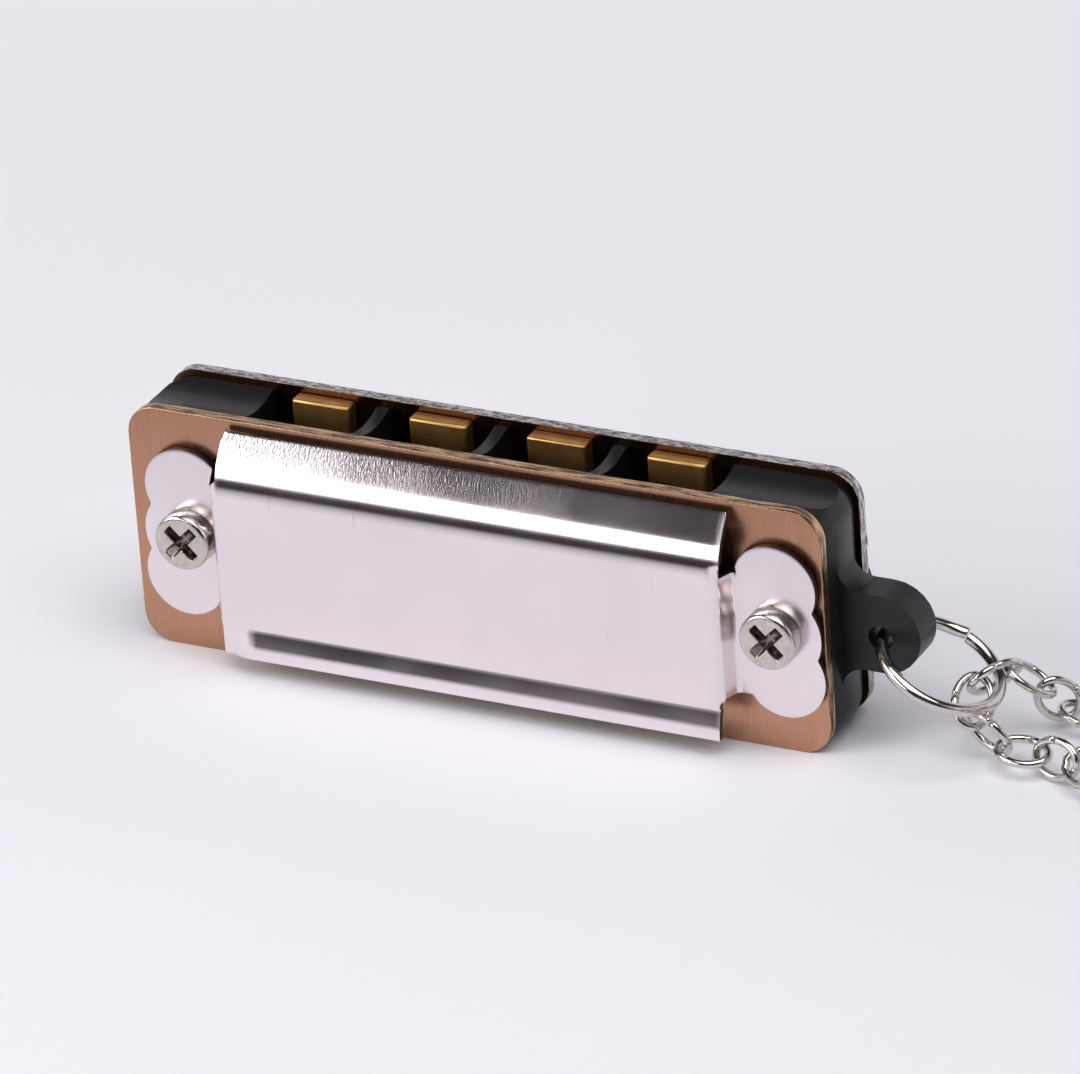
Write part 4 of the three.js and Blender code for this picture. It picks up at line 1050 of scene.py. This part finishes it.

# %% [markdown]
# ## Screws and nuts
#
# The screws are cold-headed steel with a punched cross, tumbled and plated: bright, with soft edges and small
# dents from the tumbling barrel. An attribute gives the recess a darker colour.

# %% Plated screw finish
plated_screw, tree, output = new_material("tumbled and plated screw steel")
where = add_node(tree, "ShaderNodeTexCoord")
dents = add_node(tree, "ShaderNodeTexNoise", {
    "Vector": where.outputs["Object"], "Scale": per_mm(0.3), "Detail": 3.0})
rough = add_node(tree, "ShaderNodeMapRange", {
    "Value": dents.outputs["Fac"], "From Min": 0.3, "From Max": 0.7, "To Min": 0.14, "To Max": 0.3})
tone = add_node(tree, "ShaderNodeMix", {
    0: dents.outputs["Fac"], 6: linear("#DDD6D2"), 7: linear("#B5ACA7")}, data_type="RGBA")
recess = add_node(tree, "ShaderNodeAttribute", attribute_name="recess")
# The recess gets a darker colour than the rest of the head.
recess_darker = add_node(tree, "ShaderNodeMix", {
    0: recess.outputs["Fac"], 6: tone.outputs[2], 7: linear("#8A827D")}, data_type="RGBA")
bump = add_node(tree, "ShaderNodeBump", {
    "Height": dents.outputs["Fac"], "Strength": 0.4, "Distance": 0.04 * MM})
shader = add_node(tree, "ShaderNodeBsdfPrincipled", {
    "Base Color": recess_darker.outputs[2], "Metallic": 1.0, "Roughness": rough.outputs[0], "Normal": bump.outputs[0]})
tree.links.new(shader.outputs[0], output.inputs[0])
print("finish:", plated_screw.name)

# %% [markdown]
# A cross cut out of a turned head would need a Boolean and leave ragged faces. So a screw is drawn as rings
# round its axis, from the bottom of the recess up its walls, over the flat head and its rounded edge, and
# down the shank. The first rings follow the cross and the later ones are circles.

# %% Rings of a screw
SCREW_HEAD, HEAD_HEIGHT, HEAD_EDGE, HEAD_MARGIN, HEAD_UNDERCUT = 3.0, 1.0, 0.2, 0.06, 0.04
HEAD_EDGE_STEPS = 6
SCREW_SHANK, SCREW_CHAMFER, TIP_CENTRE = 1.6, 0.2, 0.05
CROSS_WIDTH, CROSS_SPAN, CROSS_DEPTH = 0.55, 2.1, 0.6
EAR_FACE, SCREW_TIP = 3.1, 4.7
# Rings of the cross: share of its outline, margin beyond it, depth; the first four lie in the recess
CROSS_RINGS = [
    (0.05, 0, CROSS_DEPTH), (0.62, 0, CROSS_DEPTH), (0.66, 0, CROSS_DEPTH - 0.06), (0.95, 0, 0.1),
    (0.98, 0, 0.03), (1, 0.03, 0.0), (1, 0.07, 0.0),
]
RECESS_RINGS = 4

# Directions in a quarter turn, from midway between two arms of the cross, closest at an arm's corners
arm_corner = math.degrees(math.atan(CROSS_WIDTH / CROSS_SPAN))
one_arm = np.array([-45, -38, -31, -24, -18, -arm_corner, -10, -5, 0, 5, 10, arm_corner, 18, 24, 31, 38])
round_screw = np.radians(np.concatenate([one_arm + arm for arm in (45, 135, 225, 315)]))
from_arm = np.radians(np.tile(one_arm, 4))
arm_end = CROSS_SPAN / 2 / np.cos(from_arm)
arm_side = CROSS_WIDTH / 2 / np.maximum(np.abs(np.sin(from_arm)), TINY)
cross = np.minimum(arm_end, arm_side)
disc = np.ones_like(cross)

head, shank, depth = SCREW_HEAD / 2, SCREW_SHANK / 2, EAR_FACE + HEAD_HEIGHT + SCREW_TIP
rings = [(cross * share + margin, deep) for share, margin, deep in CROSS_RINGS]
rings += [(disc * (head - HEAD_EDGE - HEAD_MARGIN), 0.0)]
rings += [(disc * (head - HEAD_EDGE * (1 - math.sin(q))), HEAD_EDGE * (1 - math.cos(q)))
          for q in np.linspace(0, math.pi / 2, HEAD_EDGE_STEPS)]
rings += [(disc * head, HEAD_HEIGHT - HEAD_UNDERCUT), (disc * (head - HEAD_UNDERCUT), HEAD_HEIGHT)]
rings += [(disc * shank, HEAD_HEIGHT), (disc * shank, depth - SCREW_CHAMFER)]
rings += [(disc * (shank - SCREW_CHAMFER), depth), (disc * TIP_CENTRE, depth)]
print("rings of a screw:", len(rings))

# %% [markdown]
# The second screw could be a mirrored copy, but mirroring turns faces inside out, so both screws use the same
# points, moved to the left or to the right ear. The points of the recess are marked for its darker colour.
# The nuts are plain shapes, so copies with broken edges will do.

# %% Screws and nuts
radii = np.stack([ring_radius for ring_radius, _ in rings])
depths = np.broadcast_to(np.array([ring_depth for _, ring_depth in rings])[:, None], radii.shape)
screw_points = np.stack([
    radii * np.cos(round_screw),
    depths - EAR_FACE - HEAD_HEIGHT,
    PLATE_MIDDLE + radii * np.sin(round_screw),
], -1)
screw_faces = tube_faces(*radii.shape)
in_recess = np.repeat(np.arange(len(rings)) < RECESS_RINGS, radii.shape[1]).astype(float)
for word, side in (("left", -1), ("right", 1)):
    at_screw = screw_points.reshape(-1, 3) + [COVER_SHIFT + side * SCREW_OUT, 0, 0]
    mesh = new_mesh(f"screw_{word}", at_screw, screw_faces, weld_mm=0)
    mesh.attributes.new("recess", "FLOAT", "POINT").data.foreach_set("value", in_recess)
    place_piece(f"screw_{word}_piece", mesh, plated_screw, "harmonica", [f"screw_{word}"])
    dressed(f"nut_{word}", "harmonica", plated_screw, edge_mm=0.08)
print("screw faces:", len(screw_faces))
